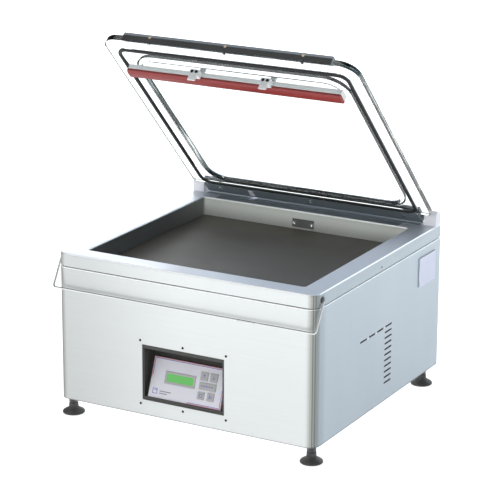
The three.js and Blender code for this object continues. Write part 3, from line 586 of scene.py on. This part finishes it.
def turn(shape, inset, z, radius, start, end, steps=4):
    """Part of a ring section that rounds an edge: (shape, inset, z) along an arc, in degrees."""
    section = []
    for i in range(steps + 1):
        angle = math.radians(start + (end - start) * i / steps)
        section.append((shape, inset + radius * math.cos(angle), z + radius * math.sin(angle)))
    return section


def skin(bm, rings, closed=False, caps=True):
    """Joins rings of vertices with faces. A closed skin runs back to its first ring; an open one has
    a cap at each end, unless caps is off."""
    for a, b in zip(rings, rings[1:] + rings[:1] if closed else rings[1:]):
        for i in range(len(a)):
            j = (i + 1) % len(a)
            bm.faces.new((a[i], a[j], b[j], b[i]))
    if caps and not closed:
        bm.faces.new(rings[0])
        bm.faces.new(rings[-1])


def sweep_section(section, closed=False, caps=True):
    """A body from a list of (shape, inset, z), all in millimetres."""
    bm = bmesh.new()
    rings = []
    for shape, inset, z in section:
        rings.append([bm.verts.new((x * MM, y * MM, z * MM)) for x, y in plan_points(shape, inset)])
    skin(bm, rings, closed, caps)
    return bm


def lathe(bm, profile, place, sides=40):
    """Adds a turned body from (radius, z), or (radius, z, flats) for a ring that is a polygon."""
    rings = []
    for radius, z, *flats in profile:
        ring = []
        for i in range(sides):
            angle = 2 * math.pi * i / sides
            reach = radius
            if flats:
                share = math.pi / flats[0]
                reach = radius * math.cos(share) / math.cos((angle + share) % (2 * share) - share)
            at = Vector((reach * math.cos(angle), reach * math.sin(angle), z))
            ring.append(bm.verts.new(place @ at))
        rings.append(ring)
    skin(bm, rings)


def pointing(at, normal):
    """A place at a point with its z axis along a normal."""
    return Matrix.Translation(at) @ Vector(normal).to_track_quat("Z", "Y").to_matrix().to_4x4()


def socket_head(bm, place, radius, height, sides=36):
    """A button-head screw with a six-sided socket."""
    r, h = radius, height
    profile = [(r, 0), (r, 0.3 * h), (0.93 * r, 0.62 * h), (0.78 * r, 0.88 * h), (0.6 * r, h)]
    profile += [(0.44 * r, h, 6), (0.42 * r, 0.25 * h, 6)]
    lathe(bm, profile, place, sides)


def dome_head(bm, place, radius, height, sides=40):
    """A plain domed bolt head on a thin washer."""
    profile = [(1.3 * radius, 0), (1.3 * radius, 0.12 * height), (1.02 * radius, 0.16 * height)]
    for i in range(9):
        angle = math.radians(8 + 10 * i)
        profile.append((radius * math.cos(angle), height * (0.16 + 0.84 * math.sin(angle))))
    lathe(bm, profile, place, sides)


def slab(bm, low, high):
    """A block between two corners."""
    x, y, z = zip(low, high)
    v = [bm.verts.new((x[i], y[j], z[k])) for k in (0, 1) for j in (0, 1) for i in (0, 1)]
    for face in ((0, 2, 3, 1), (4, 5, 7, 6), (0, 1, 5, 4), (2, 6, 7, 3), (0, 4, 6, 2), (1, 3, 7, 5)):
        bm.faces.new([v[i] for i in face])


def prism(bm, outline, along, place):
    """A flat outline in x and y, drawn from one z to another."""
    skin(bm, [[bm.verts.new(place @ Vector((x, y, z))) for x, y in outline] for z in along])


# ---------------- carried-over CAD nodes
# How far each node's edges are rounded.
USUAL_EDGE = 0.4 * MM
EDGES = {
    "housing_shell": 0.45 * MM,
    "side_plate": 0.9 * MM,
    "filler_plate_upper": 2.0 * MM,
    "hinge_block_left": 1.5 * MM,
    "hinge_block_right": 1.5 * MM,
    "front_rail": 1.2 * MM,
    "hinge_rail": 1.0 * MM,
    "counter_bar": 0.8 * MM,
    "silicone_strip": 1.2 * MM,
    "control_bezel": 0.6 * MM,
    "rear_buffer_left": 1.0 * MM,
    "rear_buffer_right": 1.0 * MM,
}
SMOOTH_ONLY = ("pump_hose", "chamber_hose", "motor_fan")


def dress_nodes():
    for name, obj in NODES.items():
        mesh = obj.data
        slot = mesh.materials[0].name
        obj.material_slots[0].material = PORT_GREY if name == "vacuum_port_plate" else LOOKS[slot]
        if "custom_normal" in mesh.attributes:
            mesh.attributes.remove(mesh.attributes["custom_normal"])
        mesh.shade_smooth()
        weld = obj.modifiers.new("weld", "WELD")
        weld.merge_threshold = 0.01 * MM
        if name not in SMOOTH_ONLY:
            soften(obj, EDGES.get(name, USUAL_EDGE))


# ---------------- rim band and chamber
# In millimetres.
WELL_CLEARANCE = 2.5  # between the filler plates and the chamber walls
WELL_FRONT = -245
WELL_CORNER = 6
CORNER_RADIUS = 23
SHEET = 2
BAND_TURN_IN = 16  # of the band's lower edge
LOW_EDGE, TOP_EDGE, WELL_EDGE, FLOOR_BEND = 1.2, 3.5, 3, 4  # radii
SIDE_SLOT_SHADE = ((-3, 335.5), (3, 338))  # y and z of a thin dark slab on the right side of the band, painted shade for a small slot


def sheet_piece(name, bm, look, outward, replaces=()):
    """A pressed sheet, thickened away from its seen face."""
    obj = piece(name, bm, LOOKS[look], "cabinet", replaces=replaces)
    sheet = obj.modifiers.new("sheet", "SOLIDIFY")
    sheet.thickness = SHEET * MM
    sheet.offset = outward
    obj.modifiers.new("flat_faces", "WEIGHTED_NORMAL").keep_sharp = True


def make_rim_and_chamber():
    plate_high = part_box("filler_plate_upper")[1] / MM
    top = TUB_HIGH.z / MM
    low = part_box("seam_seal")[1].z / MM + 0.3
    floor = TUB_LOW.z / MM + 2.5  # clear of the tub's own sheet
    band = (TUB_HIGH.x / MM, TUB_LOW.y / MM, TUB_HIGH.y / MM, CORNER_RADIUS, 1)
    rear = plate_high.y + WELL_CLEARANCE
    well = (plate_high.x + WELL_CLEARANCE, WELL_FRONT, rear, WELL_CORNER, WELL_CORNER)
    rim = [(band, BAND_TURN_IN, low)]
    rim += turn(band, LOW_EDGE, low + LOW_EDGE, LOW_EDGE, 270, 180)
    rim += turn(band, TOP_EDGE, top - TOP_EDGE, TOP_EDGE, 180, 90, 6)
    rim += turn(well, -WELL_EDGE, top - WELL_EDGE, WELL_EDGE, 90, 0, 5)
    sheet_piece("rim_band", sweep_section(rim, caps=False), "stainless", -1, ("chamber_tub",))
    walls = [(well, 0, top - WELL_EDGE)]
    walls += turn(well, FLOOR_BEND, floor + FLOOR_BEND, FLOOR_BEND, 180, 270)
    bm = sweep_section(walls, caps=False)
    bm.verts.ensure_lookup_table()
    bm.faces.new(bm.verts[-len(plan_points(well, 0)):])  # the floor
    sheet_piece("chamber_well", bm, "chamber_steel", 1)
    # Painted shade: a thin dark slab stands for the dark inside of a small slot.
    mark = bmesh.new()
    (y0, z0), (y1, z1) = SIDE_SLOT_SHADE
    slab(mark, (TUB_HIGH.x, y0 * MM, z0 * MM), (TUB_HIGH.x + 0.2 * MM, y1 * MM, z1 * MM))
    piece("side_slot_shade", mark, DARK_SCREW, "cabinet")


# ---------------- lid
# Outlines in millimetres: half width, front, rear, front corner radius, rear corner radius.
LID_OUTER = (293, -290, 257.7, 40, 8)
LID_CROWN = (247, -228, 247, 50, 50)
LID_RECESS = (237, -218, 237, 40, 40)
GASKET_LINE = (264, -256, 252, 22, 22)
GROOVE_HALF = 4.3
GASKET_HALF = 4
GASKET_LIP = 3
FLANGE_HEIGHT = 14
CROWN_HEIGHT = 24
RECESS_DEPTH = 10
GROOVE_DEPTH = 4


def make_lid_cover():
    low = local_box("lid_cover", LID)[0].z / MM
    flange, crown, ceiling = low + FLANGE_HEIGHT, low + CROWN_HEIGHT, low + RECESS_DEPTH
    groove = low + GROOVE_DEPTH
    section = turn(LID_RECESS, 3, ceiling - 3, 3, 90, 180, 5)
    section += turn(LID_RECESS, -2, low + 2, 2, 0, -90)
    section += [(GASKET_LINE, GROOVE_HALF, low), (GASKET_LINE, GROOVE_HALF, groove)]
    section += [(GASKET_LINE, -GROOVE_HALF, groove), (GASKET_LINE, -GROOVE_HALF, low)]
    section += turn(LID_OUTER, 1, low + 1, 1, 270, 180)
    section += turn(LID_OUTER, 3, flange - 3, 3, 180, 90)
    section += turn(LID_CROWN, -1.5, flange + 1.5, 1.5, 270, 360)
    section += turn(LID_CROWN, 4, crown - 4, 4, 180, 90, 5)
    bm = sweep_section(section)
    lid = piece(
        "lid_clear_cover", bm, LOOKS["clear_acrylic"], "lid", LID, ("lid_cover",)
    )
    lid.modifiers.new("flat_faces", "WEIGHTED_NORMAL").keep_sharp = True


def make_gasket():
    low, high = local_box("lid_gasket", LID)
    bottom, top = low.z / MM, high.z / MM
    half, lip = GASKET_HALF, GASKET_LIP
    section = [(GASKET_LINE, -half, top)]
    section += turn(GASKET_LINE, -half + lip, bottom + lip, lip, 180, 270)
    section += turn(GASKET_LINE, half - lip, bottom + lip, lip, 270, 360)
    section += [(GASKET_LINE, half, top)]
    bm = sweep_section(section, closed=True)
    piece("lid_gasket_ring", bm, LOOKS["rubber"], "lid", LID, ("lid_gasket",))


RAIL_SCREWS = (-176 * MM, 0, 176 * MM)
HINGE_SCREWS = (-226 * MM, 0, 226 * MM)
HINGE_TOP_SCREWS = [-220 * MM + i * 110 * MM for i in range(5)]
STUD_START = (1, 2, 2.6)  # the stud's plain end and its first thread, above the lid's underside
STUD_RADII = (3.4, 2.05, 2.5)  # plain end, thread root, thread crest
STUD_RINGS = 12
EDGE_SHEET_THICKNESS = 0.5 * MM


def make_front_rail_fasteners():
    rail_low, rail_high = local_box("front_rail", LID)
    lid_low = local_box("lid_cover", LID)[0].z
    middle_y = (rail_low.y + rail_high.y) / 2
    plain, root, crest = STUD_RADII
    heads = bmesh.new()
    studs = bmesh.new()
    for x in RAIL_SCREWS:
        socket_head(heads, pointing((x, middle_y, rail_high.z), UP), 4.2 * MM, 1.6 * MM)
        thread = [(plain * MM, lid_low + z * MM) for z in STUD_START[:2]]
        for i in range(STUD_RINGS):
            thread.append(((crest if i % 2 else root) * MM, lid_low + (STUD_START[2] + i) * MM))
        lathe(studs, thread, Matrix.Translation((x, middle_y, 0)), 24)
    piece("front_rail_screws", heads, BRIGHT, "lid", LID)
    piece("front_rail_studs", studs, BRIGHT, "lid", LID)

    # Painted reflection: a thin dark sheet across the lid's front edge stands for the dark reflection in
    # the acrylic there, with brass domes on it for the studs seen through it.
    dark_sheet = bmesh.new()
    front, reach = rail_low.y - EDGE_SHEET_THICKNESS, rail_high.x
    low = (-reach, front, lid_low + 1.5 * MM)
    slab(dark_sheet, low, (reach, rail_low.y, rail_low.z + 0.2 * MM))
    piece("front_edge_dark_sheet", dark_sheet, LOOKS["dark_chrome"], "lid", LID, edge=0.2 * MM)
    pins = bmesh.new()
    for x in RAIL_SCREWS:
        dome_head(pins, pointing((x, front, rail_low.z), FRONTWARD), 2.4 * MM, 0.6 * MM, 24)
    piece("front_edge_stud_reflections", pins, BRASS, "lid", LID)


def make_hinge_rail_screws():
    low, high = local_box("hinge_rail", LID)
    screws = bmesh.new()
    r, h = 4.5 * MM, 0.6 * MM  # low heads, with a socket that goes down into the rail
    profile = [(r, 0), (0.9 * r, h), (0.4 * r, h, 6), (0.38 * r, -h, 6)]
    for x in HINGE_SCREWS:
        lathe(screws, profile, pointing((x, low.y + 22 * MM, low.z), DOWN))
    piece("hinge_rail_screws", screws, BRIGHT, "lid", LID)

    top_screws = bmesh.new()
    for x in HINGE_TOP_SCREWS:
        socket_head(top_screws, pointing((x, high.y - 18 * MM, high.z), UP), 4.2 * MM, 1.6 * MM)
    piece("hinge_rail_top_screws", top_screws, BRIGHT, "lid", LID)


CLIP_SCREW_GAP = 5 * MM  # from the clip's middle
CLIP_SCREW_DROP = 5.5 * MM  # below the clip's top
TONGUE_HALF = 8.3 * MM
TONGUE_DROP = 12.4 * MM
TONGUE_DEPTH = (3 * MM, 7.6 * MM)  # at its foot and at its top
TONGUE_COVER = 0.3 * MM
ACROSS = Matrix(((0, 0, 1, 0), (1, 0, 0, 0), (0, 1, 0, 0), (0, 0, 0, 1)))  # draws an outline in y and z


def make_clip_details():
    for name in SIDES:
        low, high = local_box("bar_clip_" + name, LID)
        middle_x = (low.x + high.x) / 2
        screws = bmesh.new()
        for dx in (-CLIP_SCREW_GAP, CLIP_SCREW_GAP):
            at = (middle_x + dx, low.y, high.z - CLIP_SCREW_DROP)
            socket_head(screws, pointing(at, FRONTWARD), 3.4 * MM, 1.4 * MM, 24)
        piece("clip_screws_" + name, screws, DARK_SCREW, "lid", LID)
        tongue = bmesh.new()
        top, foot, front = high.z - TONGUE_DROP, low.z - TONGUE_COVER, low.y - TONGUE_COVER
        foot_depth, top_depth = TONGUE_DEPTH
        outline = [
            (front, top), (front, foot), (low.y + foot_depth + TONGUE_COVER, foot),
            (low.y + top_depth, top),
        ]
        prism(tongue, outline, (middle_x - TONGUE_HALF, middle_x + TONGUE_HALF), ACROSS)
        piece("clip_tongue_" + name, tongue, WHITE_PLASTIC, "lid", LID, edge=0.6 * MM)


# ---------------- cabinet details
PORT_RIBS = [-12 * MM + i * 6 * MM for i in range(5)]
FRONT_SCREWS_X = (-100 * MM, 0, 100 * MM)
FRONT_SCREWS_Z = (62 * MM, 198 * MM)


def make_port_bolts():
    low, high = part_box("vacuum_port_plate")
    bolts = bmesh.new()
    for x in (low.x + 4 * MM, high.x - 4 * MM):
        dome_head(bolts, pointing((x, low.y, low.z + 7 * MM), FRONTWARD), 4.6 * MM, 4.2 * MM)
    piece("port_bolts", bolts, BRIGHT, "cabinet")
    ribs = bmesh.new()
    for x in PORT_RIBS:
        slab(ribs, (x - 1 * MM, low.y - 0.8 * MM, low.z + 4 * MM), (x + 1 * MM, low.y, high.z - 4 * MM))
    piece("port_ribs", ribs, PORT_GREY, "cabinet", edge=0.4 * MM)


def make_front_screws():
    screws = bmesh.new()
    for x in FRONT_SCREWS_X:
        for z in FRONT_SCREWS_Z:
            socket_head(screws, pointing((x, SHELL_LOW.y, z), FRONTWARD), 2.6 * MM, 1.1 * MM, 24)
    piece("front_screws", screws, DARK_SCREW, "cabinet")


# The louvres are an upright column of slots and a row that runs forward from its top slot.
COLUMN_Y = 38 * MM
ROW_Z = 201 * MM
COLUMN_PITCH = 12.3 * MM
ROW_PITCH = 38.5 * MM
LOUVRE_HALF = (15.5 * MM, 1.25 * MM)
BRIDGE_HALF = (4.7 * MM, 2.2 * MM)


def make_louvre_shade_sheet():
    """A dark sheet behind the louvres, as painted shade for the cabinet's dark inside."""
    screen = bmesh.new()
    inside = SHELL_HIGH.x - 2.3 * MM
    slab(screen, (inside - 0.8 * MM, -100 * MM, 66 * MM), (inside, 64 * MM, 212 * MM))
    piece("louvre_shade_sheet", screen, LOOKS["rubber"], "cabinet", edge=0.2 * MM)


def make_louvre_shade_and_light():
    """Painted shade as a thin dark edging round each louvre, and painted light as pale bridges between
    the louvres of the row.
    """
    # The edging's section: growth in y and z from the slot's edge, and height over the panel.
    section = [
        [step * MM for step in point]
        for point in (
            (0, 0, -1), (0, 0, 0), (0.3, 0.55, 0), (0.3, 0.55, 0.2), (-0.5, -0.4, 0.2), (-0.5, -0.4, -1),
        )
    ]
    centres = [(COLUMN_Y - i * ROW_PITCH, ROW_Z) for i in (1, 2, 3)]
    centres += [(COLUMN_Y, ROW_Z - i * COLUMN_PITCH) for i in range(11)]
    edging = bmesh.new()
    for y, z in centres:
        rings = []
        for out_y, out_z, x in section:
            half_y, half_z = LOUVRE_HALF[0] + out_y, LOUVRE_HALF[1] + out_z
            corners = [(y + a * half_y, z + b * half_z) for a, b in ((-1, -1), (1, -1), (1, 1), (-1, 1))]
            rings.append([edging.verts.new((SHELL_HIGH.x + x, *corner)) for corner in corners])
        skin(edging, rings, closed=True)
    piece("louvre_shade_edging", edging, LOOKS["rubber"], "cabinet")
    bridges = bmesh.new()
    half_y, half_z = BRIDGE_HALF
    for i in range(3):
        y = COLUMN_Y - (i + 0.5) * ROW_PITCH
        low = (SHELL_HIGH.x, y - half_y, ROW_Z - half_z)
        slab(bridges, low, (SHELL_HIGH.x + 0.3 * MM, y + half_y, ROW_Z + half_z))
    piece("louvre_lit_bridges", bridges, LOOKS["pale_plastic"], "cabinet")


REAR_SHADE_HALF = 262 * MM
REAR_SHADE_FRONT, REAR_SHADE_BACK = 258.6 * MM, 286 * MM
SENSOR_GAP = 2 * MM  # on each side of the lid's sensor tab


def make_rear_rim_shade():
    """Painted shade: a dark slate strip under the hinge rail, open at the lid's sensor, with a thinner
    dark sheet in front of it on the rim, standing for the rail's shade.
    """
    rim_shade = bmesh.new()
    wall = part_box("filler_plate_upper")[1].y + WELL_CLEARANCE * MM
    tab_low, tab_high = local_box("lid_sensor_tab", LID)
    for x0, x1 in ((-REAR_SHADE_HALF, tab_low.x - SENSOR_GAP), (tab_high.x + SENSOR_GAP, REAR_SHADE_HALF)):
        slab(rim_shade, (x0, REAR_SHADE_FRONT, TUB_HIGH.z), (x1, REAR_SHADE_BACK, TUB_HIGH.z + 0.9 * MM))
    reach = wall - 4 * MM
    slab(rim_shade, (-reach, wall + 3.4 * MM, TUB_HIGH.z), (reach, REAR_SHADE_FRONT, TUB_HIGH.z + 0.15 * MM))
    piece("rear_rim_shade", rim_shade, LOOKS["slate_metal"], "cabinet", edge=0.3 * MM)


SPRING_WIRE = 0.9 * MM  # radius
SPRING_TURNS = 4
SPRING_STEPS = 28  # in a turn
WIRE_STEPS = 8  # round the wire


def make_return_springs():
    """The coils inside the lift cylinders, drawn at one length; on the machine they shorten as the seal
    bar rises.
    """
    steps = SPRING_TURNS * SPRING_STEPS
    for name in SIDES:
        node = "lift_spring_" + name
        low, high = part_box(node)
        middle = (low + high) / 2
        radius = (high.x - low.x) / 2 - SPRING_WIRE
        rise = high.z - low.z - 2 * SPRING_WIRE
        bm = bmesh.new()
        rings = []
        for i in range(steps + 1):
            angle = 2 * math.pi * i / SPRING_STEPS
            outward = Vector((math.cos(angle), math.sin(angle), 0))
            at = Vector((middle.x, middle.y, low.z + SPRING_WIRE + rise * i / steps)) + radius * outward
            ring = []
            for k in range(WIRE_STEPS):
                turned = 2 * math.pi * k / WIRE_STEPS
                around = math.cos(turned) * outward + math.sin(turned) * UP
                ring.append(bm.verts.new(at + SPRING_WIRE * around))
            rings.append(ring)
        skin(bm, rings)
        spring = piece(
            "return_spring_" + name, bm, LOOKS["polished_wire"], "cabinet",
            replaces=(node,),
        )
        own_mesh(spring)


REAR_SCREWS_X = (-284 * MM, -95 * MM, 95 * MM, 284 * MM)
REAR_SCREWS_MIDDLE = 180 * MM  # height of the middle pair


def make_rear_screws():
    low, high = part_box("rear_panel")
    screws = bmesh.new()
    places = [(x, z) for x in REAR_SCREWS_X for z in (low.z + 12 * MM, high.z - 14 * MM)]
    places += [(x, REAR_SCREWS_MIDDLE) for x in (REAR_SCREWS_X[0], REAR_SCREWS_X[-1])]
    for x, z in places:
        socket_head(screws, pointing((x, high.y, z), REARWARD), 4 * MM, 1.8 * MM)
    piece("rear_screws", screws, BRIGHT, "cabinet")


FRAME_HALF = 95.2 * MM
FRAME_INSET = 16 * MM  # from the bezel's top and bottom
FRAME_SIDE_LIP, FRAME_END_LIP = 4 * MM, 8.2 * MM


def make_control_frame():
    """The dark lip that frames the control recess."""
    low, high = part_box("control_bezel")
    bottom, top = low.z + FRAME_INSET, high.z - FRAME_INSET
    bm = bmesh.new()
    rings = []
    for inset_x, inset_z, y in (
        (0, 0, SHELL_LOW.y + 0.4 * MM),
        (FRAME_SIDE_LIP, FRAME_END_LIP, SHELL_LOW.y + 1.3 * MM),
        (FRAME_SIDE_LIP, FRAME_END_LIP, SHELL_LOW.y + 2.6 * MM),
        (0, 0, SHELL_LOW.y + 2.6 * MM),
    ):
        x = FRAME_HALF - inset_x
        z0, z1 = bottom + inset_z, top - inset_z
        rings.append([bm.verts.new(p) for p in ((-x, y, z0), (x, y, z0), (x, y, z1), (-x, y, z1))])
    skin(bm, rings, closed=True)
    piece("control_frame", bm, LOOKS["dark_plastic"], "cabinet", edge=0.4 * MM)


BAIL_WIRE = 2 * MM  # radius
PIVOT_BEND = 4  # in millimetres
CORNER_BEND = 5.5
BEND_STEPS = 8


def make_bail():
    """The sprung wire, swept along its bends."""
    low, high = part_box("bail_wire")
    arm = high.x - BAIL_WIRE
    pivot = Vector(JOINTS["bail_hinge"]["pos_m"])
    run_y, run_z = low.y + BAIL_WIRE, low.z + BAIL_WIRE
    start = SHELL_HIGH.x - 9 * MM
    corners = [
        (-start, pivot.y, pivot.z, 0),
        (-arm, pivot.y, pivot.z, PIVOT_BEND),
        (-arm, run_y, run_z, CORNER_BEND),
        (arm, run_y, run_z, CORNER_BEND),
        (arm, pivot.y, pivot.z, PIVOT_BEND),
        (start, pivot.y, pivot.z, 0),
    ]
    points = []
    for i, (x, y, z, radius) in enumerate(corners):
        here = Vector((x, y, z))
        if not radius:
            points.append(here)
            continue
        before = (Vector(corners[i - 1][:3]) - here).normalized()
        after = (Vector(corners[i + 1][:3]) - here).normalized()
        half_angle = before.angle(after) / 2
        reach = radius * MM / math.tan(half_angle)
        centre = here + (before + after).normalized() * (radius * MM / math.sin(half_angle))
        a, b = here + before * reach - centre, here + after * reach - centre
        for step in range(BEND_STEPS + 1):
            points.append(centre + a.slerp(b, step / BEND_STEPS).normalized() * a.length)
    curve = bpy.data.curves.new("bail", "CURVE")
    curve.dimensions = "3D"
    curve.bevel_depth = BAIL_WIRE
    curve.bevel_resolution = 5
    curve.use_fill_caps = True
    spline = curve.splines.new("POLY")
    spline.points.add(len(points) - 1)
    for target, point in zip(spline.points, points):
        target.co = (*point, 1)
    spline.use_smooth = True
    curve.materials.append(BAIL_STEEL)
    bail = bpy.data.objects.new("bail", curve)
    bpy.context.scene.collection.objects.link(bail)
    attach(bail, "bail")
    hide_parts("bail_wire")


# Radius and height of the foot's moulding, from the floor up, then of its nut, which has six flats.
FOOT_MOULDING = (
    (20.5, 0), (22.6, 0.4), (23.5, 1.4), (23.5, 3.2), (23.0, 4.4), (21.8, 5.6), (19.6, 7.0),
    (16.8, 8.5), (14.0, 9.9), (11.8, 11.6), (10.6, 13.6), (10.0, 16.4), (9.8, 22.0),
    (8.4, 22.2), (8.4, 24.0),
)
FOOT_NUT = ((9.4, 24.2), (9.4, 30.6))
FOOT_NECK = (8.2, 31)
FOOT_STUD = 4.9


def make_feet():
    for end in ("front", "rear"):
        for side in SIDES:
            node = f"foot_{end}_{side}"
            low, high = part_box(node)
            middle = (low + high) / 2
            neck_top = SHELL_LOW.z - GAP
            profile = [(r * MM, z * MM) for r, z in FOOT_MOULDING]
            profile += [(r * MM, z * MM, 6) for r, z in FOOT_NUT]
            profile += [(FOOT_NECK[0] * MM, FOOT_NECK[1] * MM), (FOOT_NECK[0] * MM, neck_top)]
            profile += [(FOOT_STUD * MM, neck_top), (FOOT_STUD * MM, high.z)]
            bm = bmesh.new()
            lathe(bm, profile, Matrix.Translation((middle.x, middle.y, 0)), 48)
            piece(
                f"levelling_foot_{end}_{side}", bm, LOOKS["foot_black"], f"{end}_{side}_foot",
                replaces=(node,),
            )


# ---------------- keypad print and display
INK = 0.12  # thickness of the print, in millimetres


def ribbon(bm, points, half, low, high):
    """A printed line of even width through points on the plate, with square ends and mitred turns."""
    offsets = []
    for i, point in enumerate(points):
        here = Vector(point)
        before = (here - Vector(points[i - 1])).normalized() if i else None
        after = (Vector(points[i + 1]) - here).normalized() if i < len(points) - 1 else None
        direction = ((before or after) + (after or before)).normalized()
        side = Vector((-direction.y, direction.x))
        stretch = 1 / max(side.dot(Vector((-(after or before).y, (after or before).x))), 0.3)
        offsets.append(side * half * stretch)
    left = [Vector(p) + o for p, o in zip(points, offsets)]
    right = [Vector(p) - o for p, o in zip(points, offsets)]
    prism(bm, left + right[::-1], (low, high), PANEL)


def printed(name, look, lines, half, body="cabinet", lift=0.0):
    """Prints lines of points, in millimetres across and up the sloping plate."""
    bm = bmesh.new()
    for line in lines:
        points = [(x * MM, y * MM) for x, y in line]
        ribbon(bm, points, half * MM, lift * MM, (lift + INK) * MM)
    piece(name, bm, look, body)


# Border lines: name, look, inset from the plate's edge, half width, height of the left end.
BORDERS = (
    ("border_outer", PRINT_PINK, 1.0, 0.75, 40),
    ("border_inner", PRINT_BLUE, 3.1, 0.6, 46),
)
POUCH = [(-76, 9), (-76, 19), (-66, 19), (-66, 9), (-76, 9)]
POUCH_SEAL = [(-76, 16.5), (-66, 16.5)]
RULES = [[(-60, 15), (-34, 15)], [(-60, 10.5), (-42, 10.5)]]


def make_keypad_print():
    high = local_box("keypad_plate", PANEL)[1]
    half, height = high.x / MM, high.y / MM
    for name, look, inset, width, down in BORDERS:
        x, top = half - inset, height - inset
        upper = [(-x, down), (-x, top), (x, top)]
        lower = [(4 + inset, inset), (x, inset), (x, down - 6)]
        printed(name, look, [upper, lower], width)
    printed("pouch_mark", PRINT_BLUE, [POUCH, POUCH_SEAL], 0.55)
    printed("maker_rules", PRINT_GREY, RULES, 0.9)


DISPLAY_RIM = 4.6 * MM


def make_display():
    low, high = local_box("display_window", PANEL)
    section = (
        (0, low.z), (0, 0.35 * MM), (0.5 * MM, 0.7 * MM), (DISPLAY_RIM, 0.5 * MM), (DISPLAY_RIM, low.z),
    )
    bm = bmesh.new()
    rings = []
    for inset, z in section:
        x0, x1, y0, y1 = low.x + inset, high.x - inset, low.y + inset, high.y - inset
        rings.append([bm.verts.new((x, y, z)) for x, y in ((x0, y0), (x1, y0), (x1, y1), (x0, y1))])
    skin(bm, rings, closed=True)
    piece(
        "display_frame", bm, LOOKS["key_grey"], "cabinet", PANEL, ("display_window",), 0.2 * MM
    )
    pane = bmesh.new()
    inset = DISPLAY_RIM - 0.2 * MM
    slab(pane, (low.x + inset, low.y + inset, low.z), (high.x - inset, high.y - inset, 0.1 * MM))
    piece("display_pane", pane, LOOKS["display"], "cabinet", PANEL, edge=0.15 * MM)


def arrow(size, direction):
    """Stem and head of an arrow that points up or down the plate."""
    tip = direction * size
    barb = tip - 0.8 * direction * size
    return [[(0, -tip), (0, tip)], [(-0.7 * size, barb), (0, tip), (0.7 * size, barb)]]


# Lines of each key's mark, measured from the key's middle, and their half width.
KEY_MARKS = {
    "up": (arrow(3.2, 1), 0.5),
    "down": (arrow(3.2, -1), 0.5),
    "program": ([[(6 * i - 15, 0), (6 * i - 11.4, 0)] for i in range(5)], 1.0),
    "stop": ([[(-3, -3), (-3, 3), (3, 3), (3, -3), (-3, -3)]], 0.6),
    "start": ([[(-2.6, -3.4), (-2.6, 3.4), (3.6, 0), (-2.6, -3.4)]], 0.6),
}
LAMP_PROFILE = [(1.5 * MM, 0), (1.4 * MM, 0.25 * MM), (0.9 * MM, 0.45 * MM)]
LAMP_INSET = 3  # from the key's upper right corner


def make_key_marks():
    lift = local_box("key_up", PANEL)[1].z / MM
    for key, (lines, half) in KEY_MARKS.items():
        low, high = local_box("key_" + key, PANEL)
        centre = (low + high) / 2 / MM
        lines = [[(centre.x + x, centre.y + y) for x, y in line] for line in lines]
        printed("mark_" + key, PRINT_BLUE, lines, half, key + "_key", lift)
    for key in ("program", "stop"):
        high = local_box("key_" + key, PANEL)[1] / MM
        corner = ((high.x - LAMP_INSET) * MM, (high.y - LAMP_INSET) * MM, high.z * MM)
        lamp = bmesh.new()
        lathe(lamp, LAMP_PROFILE, PANEL @ Matrix.Translation(corner), 24)
        piece("lamp_" + key, lamp, LAMP_GREEN, key + "_key")


# ---------------- make everything
make_camera()
make_studio()
make_floor()
dress_nodes()
make_rim_and_chamber()
make_lid_cover()
make_gasket()
make_front_rail_fasteners()
make_hinge_rail_screws()
make_clip_details()
make_port_bolts()
make_front_screws()
make_return_springs()
make_rear_screws()
make_louvre_shade_sheet()
make_louvre_shade_and_light()
make_rear_rim_shade()
make_control_frame()
make_bail()
make_feet()
make_keypad_print()
make_display()
make_key_marks()

bpy.context.scene.view_settings.view_transform = "Standard"
bpy.context.view_layer.update()
